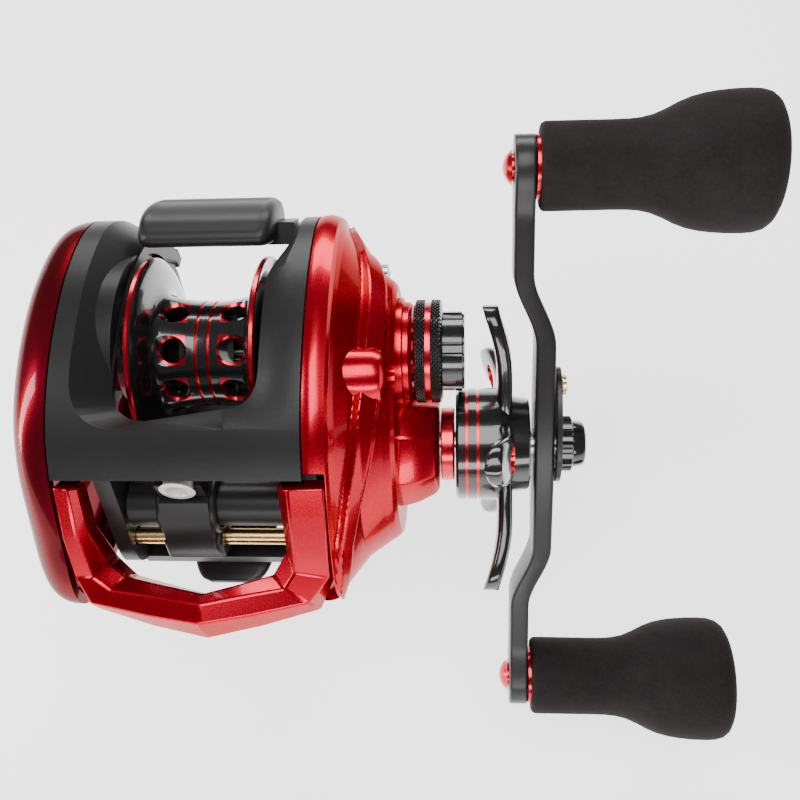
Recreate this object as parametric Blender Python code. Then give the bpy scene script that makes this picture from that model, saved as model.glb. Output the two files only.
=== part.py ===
"""Low-profile baitcasting reel, as the separate pieces it comes apart into.

Sizes and places below are in millimetres and are scaled to metres when a mesh is made.
X points to the handle side, -Y to the rod tip, +Z up.  The origin lies on the underside of the
reel foot, below the spool axis.
"""
import math

import bmesh
import bpy
from mathutils import Vector

MM = 0.001
GAP = 0.3                     # clearance between touching pieces

# Axes (y, z)
SPOOL = (0.0, 26.0)
CRANK = (-12.0, 12.0)
WORM = (-28.0, 20.25)
ROD = (-32.0, 14.5)
HANDLE_ANGLE = math.radians(47.3)

# Body
WALL_IN = 14.5                # inner face of each frame wall
WALL_THICK = 3.0
SEAM_LEFT = -23.4
SEAM_RIGHT = 19.1
PALM_DEPTH = 8.8
GEAR_DEPTH = 14.0
SHELL = 1.8
HOOD_THICK = 2.4
WINDOW_HALF = 15.2
WINDOW_RIGHT = 11.6           # beside the spool; the window is wider round the thumb bar
WINDOW_REAR = 12.0            # where the wide part begins
WINDOW_FRONT = -20.8
FOOT_THICK = 2.6
FOOT_WIDTH = 15.6
FOOT_FRONT = -36.0
FOOT_REAR = 24.0
FOOT_SCREWS = (-17.0, 5.0)      # y of the two screws up into the frame
PLATE_SCREWS = ((13.5, 31.5), (-11.5, 36.2), (8.0, 6.0))

# Spool
SPOOL_MID = -1.5              # the spool sits a little left of the foot
SPOOL_HALF = 11.5
FLANGE_R = 17.9
BARREL_R = 9.7
BARREL_END_R = 10.8
BARREL_HOLE_R = 2.2
BARREL_HOLES = 8
SHAFT_R = 1.0
SHAFT_LEFT = -24.2
SHAFT_RIGHT = 40.2
BEARING_R = 5.0
BEARING_WIDE = 2.8

# Drive line
DRIVE_R = 2.6
DRIVE_TEETH = 81
PINION_TEETH = 10
LEVELWIND_TEETH = 37
WORM_TEETH = 23
GEAR_X = 24.0
GEAR_WIDE = 3.2
ROLLER_R = 6.5
ROLLER_X = 31.0
ROLLER_WIDE = 6.0
COLLAR_X = 40.6
COLLAR_WIDE = 2.5
COLLAR_R = 7.0
STAR_X = 43.4
STAR_HUB_WIDE = 8.8
STAR_HUB_R = 10.6
STAR_TIP_R = 27.5
STAR_ARMS = 5
STAR_START = HANDLE_ANGLE + math.radians(78.0)

# Handle
HANDLE_X = 57.8
HANDLE_THICK = 3.7
HANDLE_OFFSET = 4.1           # how far the ends sit nearer the body than the middle
HANDLE_HALF = 51.0            # crank axis to knob axis
HANDLE_WIDE = 12.0
HANDLE_END_R = 5.6
POST_R = 2.4
KNOB_X = 58.2
KNOB_LONG = 38.3
KNOB_THIN_R = 7.6
KNOB_WIDE_R = 12.0
KNOB_DISH = 1.0               # the rim of a knob's end stands this far past its middle
KNOB_DRAWN = (38.3, 4.4)      # length and widening that KNOB_FLARE's points are drawn at
KNOB_FLARE = ((13.5, 0.0), (17.0, 0.3), (19.5, 1.0), (22.0, 2.3), (25.0, 3.5), (27.5, 4.1),
              (35.0, 4.4))
NUT_R = 5.2
NUT_LONG = 5.6
RETAINER_THICK = 1.0
RETAINER_SCREW = 11.6         # crank axis to the retainer's screw

# Tension cap
CAP_X = 36.0
CAP_R = 9.5
CAP_KNURL = 5.2
CAP_NOSE_R = 7.4
CAP_NOSE = 3.9
BOSS_R = 5.6

# Level wind
WORM_R = 2.7
SHIELD_R = 4.0
SHIELD_WALL = 0.8
ROD_R = 1.5
GUIDE_X = -3.2                # where the line guide stands at rest
GUIDE_WIDE = 10.5
PAWL_R = 1.0
EYE_Z = 29.9

# Clutch
BAR_LEFT = -13.9
BAR_RIGHT = 11.2
BAR_LUG_HALF = 14.1
YOKE_X = 28.6
YOKE_THICK = 1.0
YOKE_POSTS = ((-7.6, 30.8), (6.2, 25.0))
BRAKE_DIAL_R = 8.5
HUB_END = -18.0               # inner end of the left cover's bearing hub

# Side outline of the body, (y, z), from the rear over the top to the front
TOP_LINE = [(27.5, 20.0), (25.5, 33.0), (17.0, 43.0), (4.0, 46.5),
            (-10.0, 45.5), (-22.0, 41.5), (-30.5, 35.0)]
PALM_LINE = TOP_LINE + [(-38.0, 25.0), (-44.0, 15.0), (-42.0, 8.0), (-34.0, 3.0),
                        (-20.0, -2.0), (-5.0, -2.5), (12.0, -1.0), (23.0, 7.0)]
GEAR_LINE = TOP_LINE + [(-38.0, 25.0), (-42.5, 14.0), (-39.0, 3.0), (-30.0, -4.0),
                        (-14.0, -8.4), (0.0, -7.4), (14.0, -2.0), (24.0, 8.0)]
GEAR_TOP_LINE = [(12.0, 22.0), (11.5, 29.0), (8.0, 35.0), (1.0, 37.5), (-7.0, 37.0), (-15.0, 34.0),
                 (-20.5, 30.0), (-25.5, 23.0), (-28.0, 14.0), (-26.5, 3.0), (-21.0, -4.0),
                 (-13.0, -7.6), (-4.0, -6.2), (4.0, 1.0), (9.5, 12.0)]
FRAME_LINE = TOP_LINE + [(-34.5, 26.0), (-38.5, 15.0), (-38.0, 8.0), (-32.0, 2.0),
                         (-20.0, -2.0), (-5.0, -2.5), (12.0, -1.0), (23.0, 7.0)]
OUTLINE_STEPS = 3             # points between two outline corners
PLATE_CENTRE = (-5.0, 20.0)
GUIDE_TURN = 0.06


def clear_scene():
    for item in list(bpy.data.objects):
        bpy.data.objects.remove(item)


def finish_of(name, colour, roughness, metallic):
    material = bpy.data.materials.new(name)
    material.use_nodes = True
    shader = material.node_tree.nodes["Principled BSDF"]
    shader.inputs["Base Color"].default_value = (*colour, 1.0)
    shader.inputs["Roughness"].default_value = roughness
    shader.inputs["Metallic"].default_value = metallic
    return material


def make_object(name, mesh_data, colours, origin=(0.0, 0.0, 0.0), turn=0.0, sharp=35.0):
    """Turn a mesh drawn in millimetres about its origin into a named object in metres."""
    bmesh.ops.connect_verts_nonplanar(mesh_data, angle_limit=0.001, faces=mesh_data.faces)
    bmesh.ops.scale(mesh_data, vec=(MM, MM, MM), verts=mesh_data.verts)
    bmesh.ops.recalc_face_normals(mesh_data, faces=mesh_data.faces)
    mesh = bpy.data.meshes.new(name)
    mesh_data.to_mesh(mesh)
    mesh_data.free()
    mesh.shade_smooth()
    mesh.set_sharp_from_angle(angle=math.radians(sharp))
    item = bpy.data.objects.new(name, mesh)
    item.location = Vector(origin) * MM
    item.rotation_euler.x = turn
    if colours is not None:
        mesh.materials.append(finish_of(name + "_finish", *colours))
    bpy.context.scene.collection.objects.link(item)
    return item


def hide_cutter(item):
    item.hide_render = True
    item.display_type = "WIRE"
    return item


def combine(item, others, operation="DIFFERENCE"):
    """Cut the other shapes from a piece, or join them to it; the others are only guides."""
    for other in others:
        hide_cutter(other)
        step = item.modifiers.new(other.name, "BOOLEAN")
        step.operation = operation
        step.solver = "EXACT"
        step.object = other
    return item


def turned(name, section, colours=None, axis=SPOOL, steps=20, turn=0.0):
    """Turn a section of (x, radius) points about an axis that runs along X.

    A guide, which has no colours, is turned a little further, so that none of its edges lies on
    an edge of the piece that it cuts or joins.
    """
    if colours is None:
        turn += GUIDE_TURN
    shape = bmesh.new()
    rings = []
    for x, radius in section:
        if radius == 0:
            rings.append([shape.verts.new((x, 0.0, 0.0))])
            continue
        ring = []
        for step in range(steps):
            angle = 2 * math.pi * step / steps
            ring.append(shape.verts.new((x, radius * math.cos(angle), radius * math.sin(angle))))
        rings.append(ring)
    if section[0][1] > 0:
        rings.append(rings[0])
    join_rings(shape, rings)
    return make_object(name, shape, colours, (0.0, *axis), turn)


def join_rings(shape, rings):
    for first, second in zip(rings, rings[1:]):
        count = max(len(first), len(second))
        for step in range(count):
            after = (step + 1) % count
            if len(first) == 1 and len(second) == 1:
                break
            if len(first) == 1:
                shape.faces.new((first[0], second[step], second[after]))
            elif len(second) == 1:
                shape.faces.new((first[step], first[after], second[0]))
            else:
                shape.faces.new((first[step], first[after], second[after], second[step]))


def tube_section(x, length, inner, outer):
    return [(x, inner), (x, outer), (x + length, outer), (x + length, inner)]


def tube(name, x, length, inner, outer, colours=None, axis=SPOOL, steps=20):
    return turned(name, tube_section(x, length, inner, outer), colours, axis, steps)


def rod(name, x, length, radius, colours=None, axis=SPOOL, steps=20):
    return turned(name, [(x, 0), (x, radius), (x + length, radius), (x + length, 0)],
                  colours, axis, steps)


def prism(name, outline, x, length, colours=None, holes=(), origin=(0.0, 0.0), turn=0.0):
    """Extrude an outline of (y, z) points along X, leaving its holes open."""
    shape = bmesh.new()
    edges = []
    for loop in (outline, *holes):
        corners = [shape.verts.new((x, y, z)) for y, z in loop]
        for start, end in zip(corners, corners[1:] + corners[:1]):
            edges.append(shape.edges.new((start, end)))
    bmesh.ops.triangle_fill(shape, edges=edges, use_beauty=True)
    pushed = bmesh.ops.extrude_face_region(shape, geom=list(shape.faces))["geom"]
    moved = [corner for corner in pushed if isinstance(corner, bmesh.types.BMVert)]
    bmesh.ops.translate(shape, verts=moved, vec=(length, 0.0, 0.0))
    return make_object(name, shape, colours, (0.0, *origin), turn)


def block(name, low, high, colours=None, origin=(0.0, 0.0, 0.0)):
    shape = bmesh.new()
    bmesh.ops.create_cube(shape, size=1.0)
    for corner in shape.verts:
        for side in range(3):
            corner.co[side] = low[side] if corner.co[side] < 0 else high[side]
    return make_object(name, shape, colours, origin)


def circle(radius, centre=(0.0, 0.0), steps=20, start=0.07):
    return [(centre[0] + radius * math.cos(start + 2 * math.pi * step / steps),
             centre[1] + radius * math.sin(start + 2 * math.pi * step / steps))
            for step in range(steps)]


def smooth_loop(corners, steps=OUTLINE_STEPS):
    """A closed smooth curve through the corners."""
    count = len(corners)
    points = []
    for index in range(count):
        before, start, end, after = (Vector(corners[(index + shift) % count])
                                     for shift in (-1, 0, 1, 2))
        for step in range(steps):
            t = step / steps
            point = 0.5 * (2 * start + (end - before) * t
                           + (2 * before - 5 * start + 4 * end - after) * t * t
                           + (3 * start - before - 3 * end + after) * t ** 3)
            points.append(tuple(point))
    return points


def inset(points, distance):
    """Move each point of an outline inwards; the outline runs anticlockwise seen from +X."""
    count = len(points)
    moved = []
    for index, point in enumerate(points):
        before = Vector(points[index - 1])
        after = Vector(points[(index + 1) % count])
        along = (after - before).normalized()
        moved.append((point[0] - along.y * distance, point[1] + along.x * distance))
    return moved


def shrunk(points, share, centre=PLATE_CENTRE):
    return [(centre[0] + (y - centre[0]) * share, centre[1] + (z - centre[1]) * share)
            for y, z in points]


def between(first, second, share):
    return [(y0 + (y1 - y0) * share, z0 + (z1 - z0) * share)
            for (y0, z0), (y1, z1) in zip(first, second)]


def dished_cover(name, seam_line, top_line, slope, seam, depth, side, colours):
    """A shell that closes one side of the body; it bulges away from its open seam.

    slope holds (share of the depth, share of the way from the seam line to the top line).
    """
    outer_seam, outer_top = smooth_loop(seam_line), smooth_loop(top_line)
    inner_seam, inner_top = inset(outer_seam, SHELL), inset(outer_top, SHELL)
    shape = bmesh.new()
    middle_y = sum(y for y, z in outer_top) / len(outer_top)
    middle_z = sum(z for y, z in outer_top) / len(outer_top)
    layers = []
    for seam_loop, top_loop, deep in ((outer_seam, outer_top, depth),
                                      (inner_seam, inner_top, depth - SHELL)):
        rings = []
        for share, way in slope:
            x = seam + side * deep * share
            rings.append([shape.verts.new((x, y, z)) for y, z in between(seam_loop, top_loop, way)])
        rings.append([shape.verts.new((seam + side * deep, middle_y, middle_z))])
        join_rings(shape, rings)
        layers.append(rings)
    join_rings(shape, [layers[0][0], layers[1][0]])
    return make_object(name, shape, colours, sharp=50.0)


def gear_outline(teeth, pitch_r, addendum, dedendum, share, start):
    """Straight-sided teeth; share is the part of a tooth pitch that the tooth fills."""
    points = []
    pitch = 2 * math.pi / teeth
    for tooth in range(teeth):
        middle = start + tooth * pitch
        for offset, radius in ((-0.62, -dedendum), (-0.34, addendum),
                               (0.34, addendum), (0.62, -dedendum)):
            angle = middle + offset * share * pitch
            points.append(((pitch_r + radius) * math.cos(angle),
                           (pitch_r + radius) * math.sin(angle)))
    return points


def screw(name, x, head_r, head, shank_r, shank, side, colours, axis):
    """A screw along X whose head faces the given side."""
    section = [(x, 0), (x, head_r * 0.8), (x - side * head * 0.3, head_r),
               (x - side * head, head_r), (x - side * head, shank_r),
               (x - side * (head + shank), shank_r), (x - side * (head + shank), 0)]
    return turned(name, section, colours, axis, 12)


# Colours: (red, green, blue), roughness, metallic
DARK_RED = ((0.25, 0.005, 0.012), 0.25, 0.6)
BRIGHT_RED = ((0.62, 0.01, 0.02), 0.25, 0.6)
BLACK = ((0.015, 0.015, 0.016), 0.4, 0.2)
GLOSS_BLACK = ((0.01, 0.01, 0.011), 0.2, 0.3)
STEEL = ((0.6, 0.6, 0.62), 0.3, 1.0)
BRASS = ((0.7, 0.48, 0.2), 0.3, 1.0)
ALUMINIUM = ((0.72, 0.72, 0.74), 0.35, 1.0)
FOAM = ((0.05, 0.038, 0.04), 0.9, 0.0)
PLASTIC = ((0.03, 0.03, 0.032), 0.55, 0.0)
CERAMIC = ((0.75, 0.74, 0.7), 0.2, 0.0)
CARBON = ((0.04, 0.04, 0.045), 0.6, 0.0)


def build_frame():
    outline = inset(smooth_loop(FRAME_LINE), HOOD_THICK + 4 * GAP)
    at = {"worm": circle(2.2 + GAP, WORM, 16), "rod": circle(ROD_R + GAP, ROD, 16)}
    left_holes = [circle(FLANGE_R + 0.8, SPOOL, 32), at["worm"], at["rod"]]
    frame = prism("frame", outline, -WALL_IN - WALL_THICK, WALL_THICK, BLACK, left_holes)
    right_holes = [circle(BEARING_R + GAP, SPOOL), circle(4.5 + GAP, CRANK), at["worm"], at["rod"]]
    right = prism("frame_right_wall", outline, WALL_IN, WALL_THICK, None, right_holes)
    floor = block("frame_floor", (-WALL_IN - 1, -24.0, FOOT_THICK + GAP),
                  (WALL_IN + 1, 11.0, FOOT_THICK + 3.2))
    front = block("frame_front_bar", (-WALL_IN - 1, -33.4, 4.6), (WALL_IN + 1, -30.0, 7.4))
    combine(frame, [right, floor, front], "UNION")
    holes = [vertical_rod("frame_foot_hole_%d" % index, 0.0, y, FOOT_THICK, 8.0, 1.2 + GAP)
             for index, y in enumerate(FOOT_SCREWS)]
    thumb_path = prism("frame_clutch_slot", [(7.0, 22.0), (18.0, 22.0), (23.5, 33.0), (16.0, 36.0)],
                       WALL_IN - 1, WALL_THICK + 2)
    combine(frame, holes + [thumb_path])


def vertical_turned(name, x, y, section, colours=None, steps=14):
    """Turn a section of (z, radius) points about an upright axis."""
    shape = bmesh.new()
    rings = []
    for z, radius in section:
        if radius == 0:
            rings.append([shape.verts.new((0, 0, z))])
        else:
            rings.append([shape.verts.new((px, py, z)) for px, py in circle(radius, steps=steps)])
    join_rings(shape, rings)
    return make_object(name, shape, colours, (x, y, 0.0))


def vertical_rod(name, x, y, bottom, top, radius, colours=None, steps=14):
    section = [(bottom, 0), (bottom, radius), (top, radius), (top, 0)]
    return vertical_turned(name, x, y, section, colours, steps)


def build_foot():
    """The saddle plate that the rod's reel seat clamps at both tapered ends."""
    shape = bmesh.new()
    rows = [(FOOT_FRONT, 0.55, 1.1), (FOOT_FRONT + 2, 0.85, 1.3), (FOOT_FRONT + 13, 1.0, FOOT_THICK),
            (FOOT_REAR - 13, 1.0, FOOT_THICK), (FOOT_REAR - 2, 0.85, 1.3), (FOOT_REAR, 0.55, 1.1)]
    rings = []
    for y, share, thick in rows:
        half = FOOT_WIDTH / 2 * share
        rings.append([shape.verts.new(point) for point in
                      ((-half, y, 0), (half, y, 0), (half, y, thick * 0.6), (half * 0.8, y, thick),
                       (-half * 0.8, y, thick), (-half, y, thick * 0.6))])
    join_rings(shape, rings)
    shape.faces.new(rings[0])
    shape.faces.new(list(reversed(rings[-1])))
    foot = make_object("reel_foot", shape, BLACK)
    for index, y in enumerate(FOOT_SCREWS):
        hole = vertical_turned("foot_hole_%d" % index, 0.0, y,
                               [(-1.0, 0), (-1.0, 2.3 + GAP), (1.3 + GAP, 2.3 + GAP),
                                (1.3 + GAP, 1.2 + GAP), (5.0, 1.2 + GAP), (5.0, 0)])
        combine(foot, [hole])
    for index, y in enumerate(FOOT_SCREWS):
        name = ("front", "rear")[index] + "_foot_screw"
        vertical_turned(name, 0.0, y, [(GAP, 0), (GAP, 2.3), (1.3, 2.3), (1.3, 1.2), (5.4, 1.2),
                                       (5.4, 0)], STEEL, 12)


def build_hood():
    body = smooth_loop(PALM_LINE)
    covered = 6 * OUTLINE_STEPS + 1
    outer = body[:covered]
    inner = inset(body, HOOD_THICK)[:covered]
    section = outer + list(reversed(inner))
    hood = prism("hood", section, SEAM_LEFT + GAP, SEAM_RIGHT - SEAM_LEFT - 2 * GAP, BLACK)
    window = block("hood_window", (-WINDOW_HALF, WINDOW_FRONT, 10.0), (WINDOW_RIGHT, 40.0, 60.0))
    bar_room = block("hood_bar_room", (WINDOW_RIGHT - 2.0, WINDOW_REAR, 9.0),
                     (WINDOW_HALF, 41.0, 61.0))
    combine(hood, [window, bar_room])


def build_nose():
    """The red bridge round the line opening: two arms and a pointed bar between them."""
    inside_left = SEAM_LEFT + 2 * GAP
    inside_right = SEAM_RIGHT - 2 * GAP
    path = [(inside_left, -31.6, 30.8), (inside_left, -42.6, 14.0), (inside_left + 6, -46.2, 12.0),
            (0.0, -49.8, 14.0), (inside_right - 6, -46.2, 12.0), (inside_right, -42.6, 14.0),
            (inside_right, -31.6, 30.8)]
    inward = [(3.2, 0.0), (3.2, 1.0), (2.0, 4.0), (0.0, 5.0), (-2.0, 4.0), (-3.2, 1.0), (-3.2, 0.0)]
    depth = [(1.4, 5.0), (5.2, 4.8), (1.0, 6.0), (0.0, 7.0), (1.0, 6.0), (5.2, 4.8), (1.4, 5.0)]
    shape = bmesh.new()
    rings = []
    for (x, y, z), (side, back), (rear, tall) in zip(path, inward, depth):
        front_low = (x, y + rear * 0.2, z - tall * 0.5)
        front_high = (x, y, z + tall * 0.5)
        rear_high = (x + side, y + rear + back, z + tall * 0.4)
        rear_low = (x + side, y + rear + back, z - tall * 0.5)
        rings.append([shape.verts.new(point) for point in
                      (front_low, front_high, rear_high, rear_low)])
    join_rings(shape, rings)
    shape.faces.new(rings[0])
    shape.faces.new(list(reversed(rings[-1])))
    make_object("nose_guard", shape, BRIGHT_RED, sharp=20.0)


def build_palm_cover():
    top_line = shrunk(PALM_LINE, 0.58)
    slope = [(0.0, 0.0), (0.3, 0.01), (0.55, 0.06), (0.75, 0.21), (0.9, 0.52), (1.0, 1.0)]
    cover = dished_cover("palm_side_plate", PALM_LINE, top_line, slope, SEAM_LEFT, PALM_DEPTH, -1,
                         DARK_RED)
    top = SEAM_LEFT - PALM_DEPTH
    seat = top + 3.0
    hub = turned("palm_hub", [(seat - 1.0, 0), (seat - 1.0, BRAKE_DIAL_R + 2.0),
                              (seat + 2.0, BRAKE_DIAL_R + 2.0), (seat + 2.0, 7.0),
                              (HUB_END, 7.0), (HUB_END, BEARING_R + GAP),
                              (seat + 2.6, BEARING_R + GAP), (seat + 2.6, 0)])
    combine(cover, [hub], "UNION")
    recess = turned("palm_dial_recess", [(top - 2.0, 0), (top - 2.0, BRAKE_DIAL_R + GAP),
                                         (seat, BRAKE_DIAL_R + GAP), (seat, 2.0 + GAP),
                                         (seat + 4.0, 2.0 + GAP), (seat + 4.0, 0)])
    combine(cover, [recess])
    section = [(top + 0.2, 0), (top + 0.2, BRAKE_DIAL_R - 0.8), (top + 1.0, BRAKE_DIAL_R),
               (top + 2.7, BRAKE_DIAL_R), (top + 2.7, 2.0), (top + 7.0, 2.0), (top + 7.0, 0)]
    dial = turned("brake_dial", section, GLOSS_BLACK)
    sides = [block("brake_dial_side_%d" % index, (top - 1.0, -8.0, low), (top + 1.2, 8.0, low + 2.4))
             for index, low in enumerate((1.2, -3.6))]
    for side in sides:
        side.location = Vector((0.0, *SPOOL)) * MM
    combine(dial, sides)


def build_gear_cover():
    slope = [(0.0, 0.0), (0.17, 0.0), (0.24, 0.2), (0.58, 0.68), (0.86, 0.88), (1.0, 1.0)]
    cover = dished_cover("gear_side_plate", GEAR_LINE, GEAR_TOP_LINE, slope, SEAM_RIGHT,
                         GEAR_DEPTH, 1, BRIGHT_RED)
    face = SEAM_RIGHT + GEAR_DEPTH
    inside = face - SHELL
    crank_boss = turned("crank_boss", [(inside - 1.3, 0), (inside - 1.3, 11.5), (face + 4.0, 11.2),
                                       (COLLAR_X - GAP, 9.0), (COLLAR_X - GAP, 0)],
                        None, CRANK, 8, math.radians(22.5))
    cap_room = rod("cap_room", CAP_X - 0.5, 12.0, CAP_R + 0.9)
    cap_base = turned("cap_base", [(inside + 0.5, 0), (inside + 0.5, CAP_R), (face + 1.2, CAP_R),
                                   (CAP_X - GAP, CAP_R - 0.9), (CAP_X - GAP, BOSS_R),
                                   (CAP_X + 4.0, BOSS_R), (CAP_X + 4.0, 0)])
    spool_bore = turned("spool_bore", [(inside - 4.0, 0), (inside - 4.0, 4.2), (inside + 1.2, 4.2),
                                       (inside + 1.2, 2.4), (CAP_X + 5.0, 2.4), (CAP_X + 5.0, 0)],
                        turn=GUIDE_TURN)
    roller_end = ROLLER_X + ROLLER_WIDE + GAP
    crank_bore = turned("crank_bore", [(inside - 4.0, 0), (inside - 4.0, ROLLER_R + GAP),
                                       (roller_end, ROLLER_R + GAP), (roller_end, 4.2 + GAP),
                                       (COLLAR_X + 1.0, 4.2 + GAP), (COLLAR_X + 1.0, 0)],
                        None, CRANK, turn=GUIDE_TURN)
    combine(cover, [crank_boss], "UNION")
    combine(cover, [cap_room])
    combine(cover, [cap_base], "UNION")
    combine(cover, [spool_bore, crank_bore])
    for index, spot in enumerate(PLATE_SCREWS):
        pad = rod("plate_screw_pad_%d" % index, face - 7.0, 4.6, 3.4, None, spot, 12)
        hole = turned("plate_screw_hole_%d" % index,
                      [(face - 9.0, 0), (face - 9.0, 1.1 + GAP), (face - 3.4, 1.1 + GAP),
                       (face - 3.4, 2.0 + GAP), (face + 5.0, 2.0 + GAP), (face + 5.0, 0)],
                      None, spot, 12, GUIDE_TURN)
        combine(cover, [pad], "UNION")
        combine(cover, [hole])
        screw("plate_screw_%d" % (index + 1), face - 2.0, 2.0, 1.1, 1.1, 9.5, 1, STEEL, spot)


def build_thumb_bar():
    section = [(12.6, 44.6), (20.5, 43.8), (26.6, 39.4), (27.2, 35.0), (24.4, 32.6),
               (20.0, 36.4), (13.2, 40.8)]
    bar = prism("thumb_bar", section, BAR_LEFT, BAR_RIGHT - BAR_LEFT, BLACK)
    lug = prism("thumb_bar_lugs", [(15.5, 38.5), (18.5, 41.2), (22.5, 37.6), (19.6, 34.9)],
                -BAR_LUG_HALF, 2 * BAR_LUG_HALF)
    combine(bar, [lug], "UNION")
    outline = [(16.8, 35.4), (20.4, 33.6), (18.6, 25.0), (14.6, 25.0), (15.0, 30.0)]
    prism("clutch_slider", outline, WALL_IN + WALL_THICK + 0.5, 0.9, STEEL)


def build_spool():
    half = SPOOL_HALF
    side = [(half, SHAFT_R + GAP), (half, BARREL_END_R + 2.6), (half - 1.0, FLANGE_R - 2.2),
            (half - 0.2, FLANGE_R), (half - 1.2, FLANGE_R), (half - 1.9, FLANGE_R - 1.2),
            (half - 2.6, BARREL_END_R + 0.8), (half - 3.6, BARREL_END_R), (5.0, BARREL_R + 0.3),
            (1.6, BARREL_R)]
    section = [(SPOOL_MID - x, radius) for x, radius in side]
    section += [(SPOOL_MID + x, radius) for x, radius in reversed(side)]
    spool = turned("spool", section, GLOSS_BLACK, SPOOL, 36)
    hollow = [turned("spool_hollow_%d" % index, tube_section(SPOOL_MID + low, 8.0, 3.0, BARREL_R - 1.6))
              for index, low in enumerate((-half - 1.0, half - 7.0))]
    combine(spool, hollow)
    middle_r = BARREL_R - 0.4
    for side, x in (("left", SPOOL_MID - 5.35), ("right", SPOOL_MID + 5.35)):
        for index in range(BARREL_HOLES):
            angle = 2 * math.pi * index / BARREL_HOLES + math.radians(30.0)
            drill = bmesh.new()
            bmesh.ops.create_cone(drill, cap_ends=True, segments=6, radius1=BARREL_HOLE_R,
                                  radius2=BARREL_HOLE_R, depth=4.0)
            cutter = make_object("spool_%s_hole_%d" % (side, index), drill, None)
            cutter.location = Vector((x, SPOOL[0] + middle_r * math.sin(-angle),
                                      SPOOL[1] + middle_r * math.cos(angle))) * MM
            cutter.rotation_euler.x = angle
            combine(spool, [cutter])
    rod("spool_shaft", SHAFT_LEFT, SHAFT_RIGHT - SHAFT_LEFT, SHAFT_R, STEEL)
    tube("spool_bearing_left", -22.4, BEARING_WIDE, SHAFT_R + GAP, BEARING_R, STEEL)
    tube("spool_bearing_right", WALL_IN + 0.1, BEARING_WIDE, SHAFT_R + GAP, BEARING_R, STEEL)
    rotor = SPOOL_MID - half - GAP
    turned("brake_rotor", [(rotor - 4.0, 8.6), (rotor - 4.0, 9.6), (rotor, 9.6), (rotor, 2.0),
                           (rotor - 0.9, 2.0), (rotor - 0.9, 8.6)], ALUMINIUM)
    tube("magnet_holder", SEAM_LEFT - 2.4, 3.0, 7.4, 11.0, PLASTIC)


def build_pinion():
    distance = math.hypot(CRANK[0] - SPOOL[0], CRANK[1] - SPOOL[1])
    module = 2 * distance / (DRIVE_TEETH + PINION_TEETH)
    heading = math.atan2(CRANK[1] - SPOOL[1], CRANK[0] - SPOOL[0])
    pinion_pitch = module * PINION_TEETH / 2
    outline = gear_outline(PINION_TEETH, pinion_pitch, 0.26, 0.36, 0.38, heading)
    bore = circle(SHAFT_R + 0.2, steps=12)
    pinion = prism("pinion_gear", outline, GEAR_X - 0.4, 4.0, BRASS, [bore], SPOOL)
    tail = turned("pinion_tail", [(19.0, 1.2), (19.0, 1.62), (GEAR_X, 1.62), (GEAR_X, 1.2)],
                  steps=12)
    groove = YOKE_X - 0.3
    hub = turned("pinion_hub", [(GEAR_X + 3.4, 1.2), (GEAR_X + 3.4, 2.9), (groove, 2.9),
                                (groove, 2.0), (groove + 1.6, 2.0), (groove + 1.6, 2.9),
                                (groove + 2.4, 2.9), (groove + 2.4, 1.2)], steps=12)
    combine(pinion, [tail, hub], "UNION")
    tube("pinion_bearing", 19.2, 2.4, 1.62 + GAP, 4.0, STEEL)
    gear_bore = [circle(DRIVE_R + GAP, steps=20)]
    back = heading + math.pi
    outline = gear_outline(DRIVE_TEETH, module * DRIVE_TEETH / 2, 0.26, 0.36, 0.38,
                           back + math.pi / DRIVE_TEETH)
    gear = prism("drive_gear", outline, GEAR_X, GEAR_WIDE, BRASS, gear_bore, CRANK)
    recess = tube("drive_gear_recess", GEAR_X + 1.3, 4.0, DRIVE_R + 0.1, 12.0, None, CRANK)
    combine(gear, [recess])
    tube("drag_washer", GEAR_X + 1.6, 0.8, DRIVE_R + GAP, 11.6, CARBON, CRANK)
    tube("pressure_plate", GEAR_X + 2.7, 1.2, DRIVE_R + GAP, 11.2, STEEL, CRANK)


def build_clutch_yoke():
    """The fork that lifts the pinion off the spool, on two sprung posts."""
    y, z = SPOOL
    slot = 2.0 + GAP
    outline = [(y - 9.8, z + 7.0), (y - 9.8, z + 2.4), (y - slot, z - 3.4), (y - slot, z + 2.4),
               (y + slot, z + 2.4), (y + slot, z - 3.4), (y + 8.4, z - 3.4), (y + 8.4, z + 1.0),
               (y + 4.0, z + 5.0)]
    posts = [circle(0.9 + GAP, spot, 12) for spot in YOKE_POSTS]
    prism("clutch_yoke", outline, YOKE_X, YOKE_THICK, STEEL, posts)


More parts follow.
